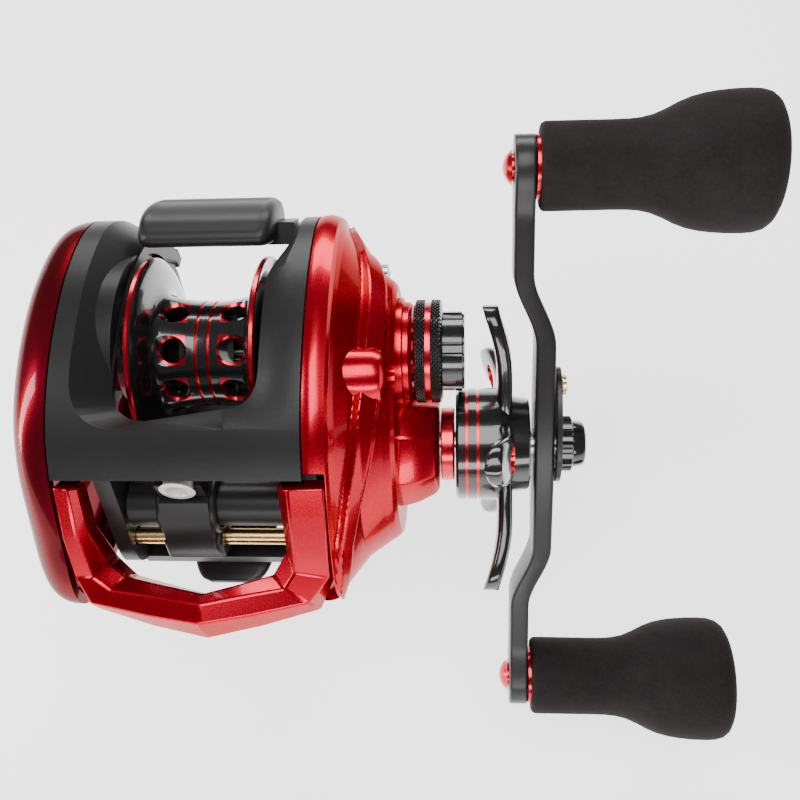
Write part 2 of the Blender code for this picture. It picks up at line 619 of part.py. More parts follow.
def build_drive_line():
    end = HANDLE_X + HANDLE_THICK + 2.4
    turned("drive_shaft", [(15.0, 0), (15.0, 2.0), (18.4, 2.0), (18.4, DRIVE_R), (end, DRIVE_R),
                           (end, 0)], STEEL, CRANK, 24)
    tube("drive_shaft_bearing", WALL_IN + 0.1, BEARING_WIDE, 2.0 + GAP, 4.5, STEEL, CRANK)
    tube("one_way_bearing", ROLLER_X, ROLLER_WIDE, 4.2, ROLLER_R, STEEL, CRANK)
    tube("roller_sleeve", GEAR_X + 4.2, COLLAR_X - GAP - GEAR_X - 4.2, DRIVE_R + GAP, 3.9,
         STEEL, CRANK)
    collar_end = COLLAR_X + COLLAR_WIDE
    turned("shaft_collar", [(COLLAR_X, 5.3), (COLLAR_X, COLLAR_R), (collar_end, COLLAR_R),
                            (collar_end, DRIVE_R + GAP), (collar_end - 1.0, DRIVE_R + GAP),
                            (collar_end - 1.0, 5.3)], BRIGHT_RED, CRANK)
    turned("drag_spring_washer", [(COLLAR_X, 4.3), (COLLAR_X, 5.0), (COLLAR_X + 0.4, 5.0),
                                  (COLLAR_X + 1.1, 3.6), (COLLAR_X + 1.1, DRIVE_R + GAP),
                                  (COLLAR_X + 0.7, DRIVE_R + GAP)], STEEL, CRANK)
    prism("drag_nut", circle(5.4, steps=6), STAR_X + 2.6, 3.4, BRASS,
          [circle(DRIVE_R + GAP, steps=20)], CRANK)


def build_levelwind_gears():
    distance = math.hypot(WORM[0] - CRANK[0], WORM[1] - CRANK[1])
    module = 2 * distance / (LEVELWIND_TEETH + WORM_TEETH)
    heading = math.atan2(WORM[1] - CRANK[1], WORM[0] - CRANK[0])
    outline = gear_outline(LEVELWIND_TEETH, module * LEVELWIND_TEETH / 2, 0.4, 0.55, 0.42, heading)
    prism("levelwind_drive_gear", outline, 19.8, 1.8, PLASTIC,
          [circle(DRIVE_R + GAP, steps=20)], CRANK)
    start = heading + math.pi + math.pi / WORM_TEETH
    outline = gear_outline(WORM_TEETH, module * WORM_TEETH / 2, 0.4, 0.55, 0.42, start)
    prism("worm_gear", outline, 19.8, 1.8, PLASTIC, [circle(1.2 + GAP, steps=20)], WORM)


def build_levelwind():
    end = WALL_IN - 0.4
    grooves = []
    turns = 5
    pitch = 2 * (end - 2.0) / turns
    worm = [(-WALL_IN - 2.6, 0), (-WALL_IN - 2.6, 1.2), (-end, 1.2), (-end, WORM_R)]
    for index in range(turns):
        x = -end + 2.0 + (index + 0.5) * pitch
        grooves += [(x - 0.9, WORM_R), (x - 0.5, WORM_R - 0.7), (x + 0.5, WORM_R - 0.7),
                    (x + 0.9, WORM_R)]
    worm += grooves + [(end, WORM_R), (end, 1.2), (22.6, 1.2), (22.6, 0)]
    turned("worm_shaft", worm, STEEL, WORM, 14)
    for side, x in (("left", -WALL_IN - WALL_THICK + 0.2), ("right", WALL_IN + 0.2)):
        tube("worm_bush_" + side, x, 2.6, 1.2 + GAP, 2.2, BRASS, WORM, 20)
    shield = tube("worm_shield", -end, 2 * end, SHIELD_R - SHIELD_WALL, SHIELD_R, BLACK, WORM, 24)
    slot = block("shield_slot", (-end + 1.6, -1.5, -6.0), (end - 1.6, 1.5, -2.0),
                 origin=(0.0, *WORM))
    combine(shield, [slot])
    rod("guide_rod", -WALL_IN - 2.4, 2 * (WALL_IN + 2.4), ROD_R, BRASS, ROD, 20)
    build_line_guide()


def build_line_guide():
    half = GUIDE_WIDE / 2
    outline = [(-35.6, 17.0), (-35.6, 12.0), (-33.6, 10.6), (-25.6, 10.6), (-23.0, 15.0),
               (-23.0, 24.6), (-26.4, 26.4), (-26.4, 33.2), (-29.6, 33.2), (-29.6, 26.4),
               (-33.0, 23.0)]
    guide = prism("line_guide", outline, GUIDE_X - half, 2 * half, BLACK)
    bores = [rod("guide_shield_bore", GUIDE_X - half - 1, 2 * half + 2, SHIELD_R + GAP, None, WORM, 24),
             rod("guide_rod_bore", GUIDE_X - half - 1, 2 * half + 2, ROD_R + GAP, None, ROD, 20),
             vertical_rod("guide_pawl_bore", GUIDE_X, WORM[0], 8.0, 18.0, PAWL_R + GAP),
             block("guide_arm_left", (-half - 1, -31.0, 27.2), (-4.2, -24.0, 35.0),
                   origin=(GUIDE_X, 0.0, 0.0)),
             block("guide_arm_right", (4.2, -31.0, 27.2), (half + 1, -24.0, 35.0),
                   origin=(GUIDE_X, 0.0, 0.0))]
    eye = bmesh.new()
    bmesh.ops.create_cone(eye, cap_ends=True, segments=24, radius1=2.6 + GAP, radius2=2.6 + GAP,
                          depth=8.0)
    eye_hole = make_object("guide_eye_hole", eye, None)
    eye_hole.location = Vector((GUIDE_X, -28.0, EYE_Z)) * MM
    eye_hole.rotation_euler.x = math.pi / 2
    combine(guide, bores + [eye_hole])
    shape = bmesh.new()
    rings = []
    for y, radius in ((-30.2, 1.9), (-30.2, 3.1), (-29.9, 3.1), (-29.9, 2.6), (-26.6, 2.6),
                      (-26.6, 1.9), (-28.4, 1.6)):
        rings.append([shape.verts.new((px, y, EYE_Z + pz)) for px, pz in circle(radius)])
    join_rings(shape, rings + [rings[0]])
    make_object("guide_eyelet", shape, CERAMIC, (GUIDE_X, 0.0, 0.0))
    vertical_rod("levelwind_pawl", GUIDE_X, WORM[0], 10.9, WORM[1] - WORM_R - GAP, PAWL_R, STEEL, 16)
    vertical_rod("pawl_cap", GUIDE_X, WORM[0], 8.9, 10.3, 2.4, BLACK, 20)


def build_star():
    """Drag star: a hub with five dished arms, each with an oval hole, and a collar up to the handle."""
    hub_end = STAR_X + STAR_HUB_WIDE
    disc_end = HANDLE_X - 0.8
    hub = turned("star_drag_wheel", [(STAR_X, 6.4), (STAR_X, STAR_HUB_R - 0.5),
                                     (STAR_X + 0.6, STAR_HUB_R), (hub_end, STAR_HUB_R),
                                     (hub_end + 1.8, STAR_HUB_R - 1.4),
                                     (disc_end, STAR_HUB_R - 2.0), (disc_end, DRIVE_R + GAP),
                                     (hub_end - 2.0, DRIVE_R + GAP), (hub_end - 2.0, 6.4)],
                 GLOSS_BLACK, CRANK)
    for index in range(STAR_ARMS):
        angle = 2 * math.pi * index / STAR_ARMS + STAR_START
        shape = bmesh.new()
        rings = []
        for radius, width, x in ((8.0, 5.2, hub_end - 1.2), (12.5, 4.4, hub_end - 1.3),
                                 (17.0, 3.9, hub_end - 1.3), (22.0, 3.9, hub_end - 1.9),
                                 (25.6, 3.6, hub_end - 3.0), (STAR_TIP_R, 1.6, hub_end - 3.6)):
            rings.append([shape.verts.new((x + dx, radius, side * width)) for dx, side in
                          ((0.0, -0.85), (0.7, -1.0), (2.4, -0.85), (2.9, 0.0),
                           (2.4, 0.85), (0.7, 1.0), (0.0, 0.85))])
        join_rings(shape, rings)
        shape.faces.new(rings[0])
        shape.faces.new(list(reversed(rings[-1])))
        arm = make_object("star_arm_%d" % index, shape, None, (0.0, *CRANK), angle)
        oval = [(19.0 + 3.2 * math.cos(2 * math.pi * k / 14), 1.7 * math.sin(2 * math.pi * k / 14))
                for k in range(14)]
        hole = prism("star_hole_%d" % index, oval, hub_end - 8.0, 14.0, None, (), CRANK, angle)
        combine(hub, [arm], "UNION")
        combine(hub, [hole])


def arm_shift(reach):
    """How far the handle's face lies from its middle plane at this reach from the crank axis."""
    bend = min(max((abs(reach) - 20.0) / 13.0, 0.0), 1.0)
    return -HANDLE_OFFSET * bend * bend * (3 - 2 * bend)


def build_handle():
    shape = bmesh.new()
    rings = []
    tip = HANDLE_HALF + HANDLE_END_R
    reaches = [-tip, -tip + 0.8, -tip + 2.2, -HANDLE_HALF, -44.0, -36.0, -33.0, -29.8, -26.5, -23.2,
               -20.0, -13.0, -6.5]
    reaches += [0.0] + [-reach for reach in reversed(reaches)]
    for reach in reaches:
        away = abs(reach)
        if away > HANDLE_HALF:
            half = math.sqrt(max(HANDLE_END_R ** 2 - (away - HANDLE_HALF) ** 2, 0.0)) + 0.6
        else:
            share = min(away / 30.0, 1.0)
            half = HANDLE_WIDE / 2 + (4.2 - HANDLE_WIDE / 2) * share * share * (3 - 2 * share)
            if away > 42.0:
                half = 4.2 + (HANDLE_END_R - 3.6) * (away - 42.0) / (HANDLE_HALF - 42.0)
        x = HANDLE_X + arm_shift(reach)
        rings.append([shape.verts.new((x + dx, reach, side * half)) for dx, side in
                      ((0.0, -0.9), (0.5, -1.0), (HANDLE_THICK - 0.5, -1.0), (HANDLE_THICK, -0.9),
                       (HANDLE_THICK, 0.9), (HANDLE_THICK - 0.5, 1.0), (0.5, 1.0), (0.0, 0.9))])
    join_rings(shape, rings)
    shape.faces.new(rings[0])
    shape.faces.new(list(reversed(rings[-1])))
    arm = make_object("handle_arm", shape, BLACK, (0.0, *CRANK), HANDLE_ANGLE, sharp=30.0)
    cuts = [prism("arm_shaft_hole", circle(DRIVE_R + GAP), HANDLE_X - 2, 9.0, None, (), CRANK,
                  HANDLE_ANGLE),
            prism("arm_screw_hole", circle(0.9 + GAP, (RETAINER_SCREW, 0.0), 12), HANDLE_X + 0.6,
                  9.0, None, (), CRANK, HANDLE_ANGLE)]
    for side in (-1, 1):
        cuts.append(prism("arm_post_hole_%d" % (side + 1),
                          circle(POST_R + GAP, (side * HANDLE_HALF, 0.0)), HANDLE_X - 8, 14.0,
                          None, (), CRANK, HANDLE_ANGLE))
    combine(arm, cuts)
    face = HANDLE_X + HANDLE_THICK
    outline = []
    for step in range(24):
        angle = 2 * math.pi * step / 24
        reach = 15.0 if math.cos(angle) > 0 else 7.2
        outline.append((reach * math.cos(angle), 7.2 * math.sin(angle)))
    prism("nut_retainer", outline, face + GAP, RETAINER_THICK, BLACK,
          [circle(NUT_R + GAP), circle(0.9 + GAP, (RETAINER_SCREW, 0.0), 12)], CRANK, HANDLE_ANGLE)
    spot = (CRANK[0] + RETAINER_SCREW * math.cos(HANDLE_ANGLE),
            CRANK[1] + RETAINER_SCREW * math.sin(HANDLE_ANGLE))
    head = face + 2 * GAP + RETAINER_THICK + 0.9
    screw("retainer_screw", head, 1.8, 0.9, 0.9, head - 0.9 - HANDLE_X - 1.2, 1, BRASS, spot)
    turned("handle_nut", [(face + GAP, DRIVE_R + GAP), (face + GAP, NUT_R),
                                (face + 3.4, NUT_R), (face + 3.4, NUT_R - 0.5),
                                (face + NUT_LONG, NUT_R - 0.7), (face + NUT_LONG + 0.6, 3.4),
                                (face + NUT_LONG + 0.6, 0), (face + 2.8, 0),
                                (face + 2.8, DRIVE_R + GAP)], STEEL, CRANK, 24)


def build_knob(place, side):
    axis = (CRANK[0] + side * HANDLE_HALF * math.cos(HANDLE_ANGLE),
            CRANK[1] + side * HANDLE_HALF * math.sin(HANDLE_ANGLE))
    arm_in = HANDLE_X - HANDLE_OFFSET
    arm_out = arm_in + HANDLE_THICK
    bore = 4.2
    deep = KNOB_LONG - 5.0
    along = KNOB_LONG / KNOB_DRAWN[0]
    wider = (KNOB_WIDE_R - KNOB_THIN_R) / KNOB_DRAWN[1]
    shape = [(0.0, bore), (0.0, 7.0), (0.8, KNOB_THIN_R)]
    shape += [(x * along, KNOB_THIN_R + rise * wider) for x, rise in KNOB_FLARE]
    shape += [(KNOB_LONG - 0.5, KNOB_WIDE_R - 1.2), (KNOB_LONG + KNOB_DISH, KNOB_WIDE_R - 4.0),
              (KNOB_LONG, 5.0), (KNOB_LONG, 0), (deep, 0), (deep, bore)]
    turned("knob_" + place, [(KNOB_X + x, radius) for x, radius in shape], FOAM, axis, 24)
    bush_end = KNOB_X + deep - 1.0
    turned("knob_bushing_" + place, [(arm_out + GAP, POST_R + GAP), (arm_out + GAP, 5.6),
                                     (KNOB_X - GAP, 5.6), (KNOB_X - GAP, bore - GAP),
                                     (bush_end, bore - GAP), (bush_end, POST_R + GAP)],
           DARK_RED, axis, 24)
    turned("knob_post_" + place, [(arm_in - 1.9, 0), (arm_in - 1.6, 1.6), (arm_in - 0.9, 2.7),
                                  (arm_in - GAP, 3.2), (arm_in - GAP, POST_R),
                                  (bush_end - 0.6, POST_R), (bush_end - 0.6, 0)],
           DARK_RED, axis, 24)


def build_tension_cap():
    end = CAP_X + CAP_KNURL
    nose = end + CAP_NOSE
    bore = BOSS_R + GAP
    cap = turned("tension_cap", [(CAP_X, bore), (CAP_X, CAP_R - 0.5), (CAP_X + 0.5, CAP_R),
                                 (end - 0.5, CAP_R), (end, CAP_R - 0.6), (end, CAP_NOSE_R),
                                 (nose - 0.6, CAP_NOSE_R), (nose, CAP_NOSE_R - 0.7), (nose, 0),
                                 (end + 0.4, 0), (end + 0.4, bore)], GLOSS_BLACK, SPOOL, 28)
    flats = []
    for index in range(6):
        angle = 2 * math.pi * index / 6
        shape = bmesh.new()
        bmesh.ops.create_cone(shape, cap_ends=True, segments=8, radius1=1.5, radius2=1.5, depth=5.0)
        notch = make_object("cap_notch_%d" % index, shape, None)
        notch.rotation_euler.y = math.pi / 2
        notch.location = Vector((nose - 0.4, SPOOL[0] + 7.9 * math.cos(angle),
                                 SPOOL[1] + 7.9 * math.sin(angle))) * MM
        flats.append(notch)
    combine(cap, flats)
    rod("tension_shim", SHAFT_RIGHT + GAP, 0.7, 4.6, CARBON)


def build_yoke_posts():
    """Two headed posts that the clutch yoke slides on."""
    base = WALL_IN + WALL_THICK + GAP
    for name, axis in zip(("front", "rear"), YOKE_POSTS):
        turned("yoke_post_" + name, [(base, 0), (base, 1.8), (base + 0.9, 1.8), (base + 0.9, 0.9),
                                     (30.2, 0.9), (30.2, 0)], STEEL, axis, 12)


clear_scene()
build_frame()
build_foot()
build_hood()
build_nose()
build_palm_cover()
build_gear_cover()
build_thumb_bar()
build_spool()
build_pinion()
build_clutch_yoke()
build_yoke_posts()
build_drive_line()
build_levelwind_gears()
build_levelwind()
build_star()
build_handle()
build_knob("upper", 1)
build_knob("lower", -1)
build_tension_cap()
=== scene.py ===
"""Looks of a low-profile baitcasting reel: pieces, finishes, light and camera."""
import math

import bmesh
import bpy
from mathutils import Matrix, Vector


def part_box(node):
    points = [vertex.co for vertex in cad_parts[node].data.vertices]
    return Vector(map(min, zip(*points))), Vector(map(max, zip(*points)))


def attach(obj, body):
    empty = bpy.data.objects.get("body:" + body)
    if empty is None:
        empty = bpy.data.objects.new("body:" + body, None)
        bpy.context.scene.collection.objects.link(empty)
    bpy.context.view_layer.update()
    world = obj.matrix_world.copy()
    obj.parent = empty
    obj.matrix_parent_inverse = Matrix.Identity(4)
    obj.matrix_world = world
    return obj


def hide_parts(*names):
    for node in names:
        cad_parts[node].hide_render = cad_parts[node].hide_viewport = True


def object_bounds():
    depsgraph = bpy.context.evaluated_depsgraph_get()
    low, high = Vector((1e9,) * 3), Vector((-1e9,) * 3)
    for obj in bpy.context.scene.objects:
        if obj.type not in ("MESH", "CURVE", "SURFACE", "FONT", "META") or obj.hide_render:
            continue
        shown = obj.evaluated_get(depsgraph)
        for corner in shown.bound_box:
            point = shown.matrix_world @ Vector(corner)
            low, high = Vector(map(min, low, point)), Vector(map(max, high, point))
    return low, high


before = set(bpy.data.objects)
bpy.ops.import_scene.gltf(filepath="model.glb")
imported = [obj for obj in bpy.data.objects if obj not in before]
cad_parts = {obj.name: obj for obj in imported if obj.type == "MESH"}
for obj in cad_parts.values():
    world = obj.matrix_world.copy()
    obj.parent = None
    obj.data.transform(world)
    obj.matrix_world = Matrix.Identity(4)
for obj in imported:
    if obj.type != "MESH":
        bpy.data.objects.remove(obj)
cad_low, cad_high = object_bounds()

MM = 0.001


# ---------------------------------------------------------------- table, light and camera
# A plain pale table well below the hanging lower knob, soft boxes overhead, behind and in front,
# a long strip light on the left for the streaks on the lacquer, and a camera above the front.
TABLE_DROP = 18.0
TABLE_HALF = 3000.0


def studio_table():
    mesh = bpy.data.meshes.new("studio_table")
    z = cad_low.z - TABLE_DROP * MM
    half = TABLE_HALF * MM
    mesh.from_pydata([(-half, -half, z), (half, -half, z), (half, half, z), (-half, half, z)],
                     [], [(0, 1, 2, 3)])
    table = bpy.data.objects.new("studio_table", mesh)
    bpy.context.scene.collection.objects.link(table)
    white = bpy.data.materials.new("table_white")
    white.use_nodes = True
    tree = white.node_tree
    shader = tree.nodes["Principled BSDF"]
    shader.inputs["Roughness"].default_value = 0.8
    shader.inputs["Emission Strength"].default_value = 1.5
    speckle = tree.nodes.new("ShaderNodeTexNoise")
    speckle.inputs["Scale"].default_value = 40.0
    shade = tree.nodes.new("ShaderNodeValToRGB")
    shade.color_ramp.elements[0].color = (0.93, 0.93, 0.93, 1)
    shade.color_ramp.elements[1].color = (0.96, 0.96, 0.96, 1)
    tree.links.new(speckle.outputs["Fac"], shade.inputs["Fac"])
    tree.links.new(shade.outputs["Color"], shader.inputs["Base Color"])
    tree.links.new(shade.outputs["Color"], shader.inputs["Emission Color"])
    mesh.materials.append(white)


def soft_box(name, place, target, width, length, power):
    light = bpy.data.lights.new(name, "AREA")
    light.shape = "RECTANGLE"
    light.size = width
    light.size_y = length
    light.energy = power
    lamp = bpy.data.objects.new(name, light)
    lamp.location = place
    lamp.rotation_euler = (Vector(target) - Vector(place)).to_track_quat("-Z", "Y").to_euler()
    bpy.context.scene.collection.objects.link(lamp)


def studio():
    studio_table()
    world = bpy.data.worlds.new("studio_air")
    world.use_nodes = True
    background = world.node_tree.nodes["Background"]
    background.inputs["Color"].default_value = (1.0, 1.0, 1.0, 1)
    background.inputs["Strength"].default_value = 0.16
    bpy.context.scene.world = world
    middle = (0.02, -0.01, 0.02)
    soft_box("top_box", (0.05, -0.10, 0.50), middle, 0.30, 0.30, 2.2)
    soft_box("rear_box", (0.02, 0.40, 0.30), middle, 0.50, 0.16, 2.4)
    soft_box("left_strip", (-0.35, -0.05, 0.16), middle, 0.06, 0.40, 1.6)
    soft_box("front_box", (0.05, -0.42, 0.14), middle, 0.40, 0.10, 1.2)


CAMERA_AIM = (32.615, -4.644, 16.0)
CAMERA_AZIMUTH = 8.732
CAMERA_ELEVATION = 60.0
CAMERA_ROLL = -7.85
CAMERA_AWAY = 173.2
CAMERA_LENS = 40.5


def reel_camera():
    azimuth, elevation = math.radians(CAMERA_AZIMUTH), math.radians(CAMERA_ELEVATION)
    back = Vector((math.sin(azimuth) * math.cos(elevation),
                   -math.cos(azimuth) * math.cos(elevation), math.sin(elevation)))
    right = Vector((math.cos(azimuth), math.sin(azimuth), 0.0))
    up = back.cross(right)
    turn = Matrix((right, up, back)).transposed() @ Matrix.Rotation(
        -math.radians(CAMERA_ROLL), 3, "Z").inverted()
    lens = bpy.data.cameras.new("reel_camera")
    lens.lens = CAMERA_LENS
    lens.sensor_width = 36.0
    lens.clip_start = 0.005
    camera = bpy.data.objects.new("reel_camera", lens)
    place = (Vector(CAMERA_AIM) + back * CAMERA_AWAY) * MM
    camera.matrix_world = Matrix.Translation(place) @ turn.to_4x4()
    bpy.context.scene.collection.objects.link(camera)
    bpy.context.scene.camera = camera


studio()
reel_camera()


# ---------------------------------------------------------------- frame
# One aluminium casting under the covers: two side walls with the bearing and levelwind holes,
# a floor for the foot and a front bar. It is painted satin black.
def effect_group(name, inputs, outputs):
    """An empty shader group with its named sockets, and the nodes at both of its ends."""
    group = bpy.data.node_groups.new(name, "ShaderNodeTree")
    for label, kind, value in inputs:
        socket = group.interface.new_socket(label, in_out="INPUT", socket_type=kind)
        socket.default_value = value
    for label, kind in outputs:
        group.interface.new_socket(label, in_out="OUTPUT", socket_type=kind)
    start = group.nodes.new("NodeGroupInput")
    end = group.nodes.new("NodeGroupOutput")
    return group, start, end


def grain_group():
    """Fine grain and slow cloudiness: tints a colour, spreads the roughness, gives a height."""
    group, start, end = effect_group(
        "paint_grain",
        [("Colour", "NodeSocketColor", (0.5, 0.5, 0.5, 1)), ("Tint", "NodeSocketFloat", 0.2),
         ("Grain Size", "NodeSocketFloat", 900.0), ("Roughness", "NodeSocketFloat", 0.4),
         ("Spread", "NodeSocketFloat", 0.1)],
        [("Colour", "NodeSocketColor"), ("Roughness", "NodeSocketFloat"),
         ("Height", "NodeSocketFloat")])
    nodes, links = group.nodes, group.links
    place = nodes.new("ShaderNodeTexCoord")
    grain = nodes.new("ShaderNodeTexNoise")
    grain.inputs["Detail"].default_value = 3.0
    links.new(place.outputs["Object"], grain.inputs["Vector"])
    links.new(start.outputs["Grain Size"], grain.inputs["Scale"])
    cloud = nodes.new("ShaderNodeTexNoise")
    cloud.inputs["Scale"].default_value = 70.0
    cloud.inputs["Detail"].default_value = 4.0
    links.new(place.outputs["Object"], cloud.inputs["Vector"])
    both = nodes.new("ShaderNodeMath")
    both.operation = "ADD"
    links.new(grain.outputs["Fac"], both.inputs[0])
    links.new(cloud.outputs["Fac"], both.inputs[1])
    centred = nodes.new("ShaderNodeMath")
    centred.operation = "SUBTRACT"
    centred.inputs[1].default_value = 1.0
    links.new(both.outputs[0], centred.inputs[0])
    shift = nodes.new("ShaderNodeMath")
    shift.operation = "MULTIPLY_ADD"
    shift.inputs[2].default_value = 1.0
    links.new(centred.outputs[0], shift.inputs[0])
    links.new(start.outputs["Tint"], shift.inputs[1])
    tinted = nodes.new("ShaderNodeVectorMath")
    tinted.operation = "SCALE"
    links.new(start.outputs["Colour"], tinted.inputs[0])
    links.new(shift.outputs[0], tinted.inputs["Scale"])
    links.new(tinted.outputs[0], end.inputs["Colour"])
    rough = nodes.new("ShaderNodeMath")
    rough.operation = "MULTIPLY_ADD"
    links.new(centred.outputs[0], rough.inputs[0])
    links.new(start.outputs["Spread"], rough.inputs[1])
    links.new(start.outputs["Roughness"], rough.inputs[2])
    links.new(rough.outputs[0], end.inputs["Roughness"])
    links.new(grain.outputs["Fac"], end.inputs["Height"])
    return group


GRAIN = grain_group()


def finish(name, colour, roughness, metallic, coat=0.0, coat_roughness=0.05, tint=0.15,
           grain=900.0, spread=0.08, bump=0.00002, edge=(1.0, 1.0, 1.0),
           shine=0.5):
    """A painted, anodised or moulded finish with grain in its colour, gloss and surface."""
    material = bpy.data.materials.new(name)
    material.use_nodes = True
    tree = material.node_tree
    shader = tree.nodes["Principled BSDF"]
    shader.inputs["Metallic"].default_value = metallic
    shader.inputs["Specular Tint"].default_value = (*edge, 1)
    shader.inputs["Specular IOR Level"].default_value = shine
    shader.inputs["Coat Weight"].default_value = coat
    shader.inputs["Coat Roughness"].default_value = coat_roughness
    effect = tree.nodes.new("ShaderNodeGroup")
    effect.node_tree = GRAIN
    effect.inputs["Colour"].default_value = (*colour, 1)
    effect.inputs["Tint"].default_value = tint
    effect.inputs["Grain Size"].default_value = grain
    effect.inputs["Roughness"].default_value = roughness
    effect.inputs["Spread"].default_value = spread
    bumps = tree.nodes.new("ShaderNodeBump")
    bumps.inputs["Distance"].default_value = bump
    tree.links.new(effect.outputs["Height"], bumps.inputs["Height"])
    tree.links.new(effect.outputs["Colour"], shader.inputs["Base Color"])
    tree.links.new(effect.outputs["Roughness"], shader.inputs["Roughness"])
    tree.links.new(bumps.outputs["Normal"], shader.inputs["Normal"])
    return material


def make_piece(name, shape, material, body, replaces=(), origin=(0, 0, 0), turn=0.0,
               sharp=32.0, soften=0.0):
    """Turn a mesh drawn in millimetres into a piece that rides on a body."""
    bmesh.ops.recalc_face_normals(shape, faces=shape.faces)
    place = Matrix.Translation(Vector(origin)) @ Matrix.Rotation(turn, 4, "X")
    shape.transform(Matrix.Scale(MM, 4) @ place)
    mesh = bpy.data.meshes.new(name)
    shape.to_mesh(mesh)
    shape.free()
    piece = bpy.data.objects.new(name, mesh)
    bpy.context.scene.collection.objects.link(piece)
    if soften:
        edge = piece.modifiers.new("softened_edges", "BEVEL")
        edge.width = soften * MM
        edge.segments = 2
        edge.limit_method = "ANGLE"
        edge.angle_limit = math.radians(sharp)
        edge.harden_normals = False
    mesh.shade_smooth()
    mesh.set_sharp_from_angle(angle=math.radians(sharp))
    if material is not None:
        mesh.materials.append(material)
    if body is not None:
        if replaces:
            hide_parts(*replaces)
        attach(piece, body)
    return piece


def join_rings(shape, rings, close=False):
    pairs = list(zip(rings, rings[1:])) + ([(rings[-1], rings[0])] if close else [])
    for first, second in pairs:
        count = max(len(first), len(second))
        if count == 1:
            continue
        for step in range(count):
            after = (step + 1) % count
            if len(first) == 1:
                shape.faces.new((first[0], second[step], second[after]))
            elif len(second) == 1:
                shape.faces.new((first[step], first[after], second[0]))
            else:
                shape.faces.new((first[step], first[after], second[after], second[step]))


def turned_shape(section, steps=96):
    """Turn a section of (x, radius) points about the X axis."""
    shape = bmesh.new()
    rings = []
    for x, radius in section:
        if radius == 0:
            rings.append([shape.verts.new((x, 0, 0))])
        else:
            rings.append([shape.verts.new((x, radius * math.cos(2 * math.pi * k / steps),
                                           radius * math.sin(2 * math.pi * k / steps)))
                          for k in range(steps)])
    join_rings(shape, rings, close=section[0][1] > 0)
    return shape


def circle(radius, centre=(0.0, 0.0), steps=48):
    return [(centre[0] + radius * math.cos(2 * math.pi * k / steps),
             centre[1] + radius * math.sin(2 * math.pi * k / steps)) for k in range(steps)]


def prism_shape(outline, x, length, holes=()):
    """Extrude an outline of (y, z) points along X, with its holes open."""
    shape = bmesh.new()
    edges = []
    for loop in (outline, *holes):
        corners = [shape.verts.new((x, y, z)) for y, z in loop]
        edges += [shape.edges.new((corners[k - 1], corners[k])) for k in range(len(corners))]
    bmesh.ops.triangle_fill(shape, edges=edges, use_beauty=True)
    pushed = bmesh.ops.extrude_face_region(shape, geom=list(shape.faces))["geom"]
    moved = [corner for corner in pushed if isinstance(corner, bmesh.types.BMVert)]
    bmesh.ops.translate(shape, verts=moved, vec=(length, 0, 0))
    bmesh.ops.dissolve_limit(shape, angle_limit=0.01, verts=shape.verts, edges=shape.edges)
    return shape


def block_shape(low, high):
    shape = bmesh.new()
    bmesh.ops.create_cube(shape, size=1.0)
    for corner in shape.verts:
        corner.co = Vector([low[k] if corner.co[k] < 0 else high[k] for k in range(3)])
    return shape


def guide(shape, origin=(0, 0, 0), turn=0.0):
    return make_piece("guide_shape", shape, None, None, (), origin, turn)


def work(piece, guides, operation="DIFFERENCE"):
    """Cut the guides from a piece or join them to it, then throw them away."""
    for other in guides:
        step = piece.modifiers.new("work", "BOOLEAN")
        step.operation = operation
        step.solver = "EXACT"
        step.object = other
        piece.modifiers.move(len(piece.modifiers) - 1, 0)
        depsgraph = bpy.context.evaluated_depsgraph_get()
        kept = [item for item in piece.modifiers if item.name != step.name]
        for item in kept:
            item.show_viewport = False
        depsgraph.update()
        mesh = bpy.data.meshes.new_from_object(piece.evaluated_get(depsgraph))
        piece.modifiers.remove(step)
        for item in kept:
            item.show_viewport = True
        piece.data = mesh
        mesh.shade_smooth()
        mesh.set_sharp_from_angle(angle=math.radians(32.0))
        bpy.data.objects.remove(other)
    return piece


def smooth_loop(corners, steps=10):
    """A closed smooth curve through the corners."""
    points = []
    count = len(corners)
    for index in range(count):
        before, start, end, after = (Vector(corners[(index + shift) % count])
                                     for shift in (-1, 0, 1, 2))
        for step in range(steps):
            t = step / steps
            points.append(tuple(0.5 * (2 * start + (end - before) * t
                                       + (2 * before - 5 * start + 4 * end - after) * t * t
                                       + (3 * start - before - 3 * end + after) * t ** 3)))
    return points


def inset(points, distance):
    moved = []
    for index, point in enumerate(points):
        along = (Vector(points[(index + 1) % len(points)]) - Vector(points[index - 1])).normalized()
        depth = distance(point) if callable(distance) else distance
        moved.append((point[0] - along.y * depth, point[1] + along.x * depth))
    return moved


def middle_of(node):
    low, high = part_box(node)
    return (low + high) / 2 / MM


spool_axis = tuple(middle_of("spool_shaft"))[1:]
crank_axis = tuple(middle_of("drive_shaft"))[1:]
worm_axis = tuple(middle_of("worm_shield"))[1:]
rod_axis = tuple(middle_of("guide_rod"))[1:]
OUTLINE_STEPS = 10
TOP_LINE = [(27.5, 20.0), (25.5, 33.0), (17.0, 43.0), (4.0, 46.5), (-10.0, 45.5), (-22.0, 41.5),
            (-30.5, 35.0)]
FRAME_LINE = TOP_LINE + [(-34.5, 26.0), (-38.5, 15.0), (-38.0, 8.0), (-32.0, 2.0), (-20.0, -2.0),
                         (-5.0, -2.5), (12.0, -1.0), (23.0, 7.0)]
HOOD_DEEP = 6.2
HOOD_THIN = 2.4
WALL = 3.0

satin_black = finish("satin_black_paint", (0.010, 0.0092, 0.0098), 0.40, 0.0, coat=0.05,
                     coat_roughness=0.30, tint=0.25, grain=1400.0, shine=0.28)


def hood_depth(point):
    """The hood is deep beside the window and thin over the levelwind and at the back."""
    y, z = point
    front = min(max((y + 26.0) / 4.0, 0.0), 1.0)
    back = min(max((z - 22.0) / 8.0, 0.0), 1.0) if y > 0 else 1.0
    return HOOD_THIN + (HOOD_DEEP - HOOD_THIN) * front * back


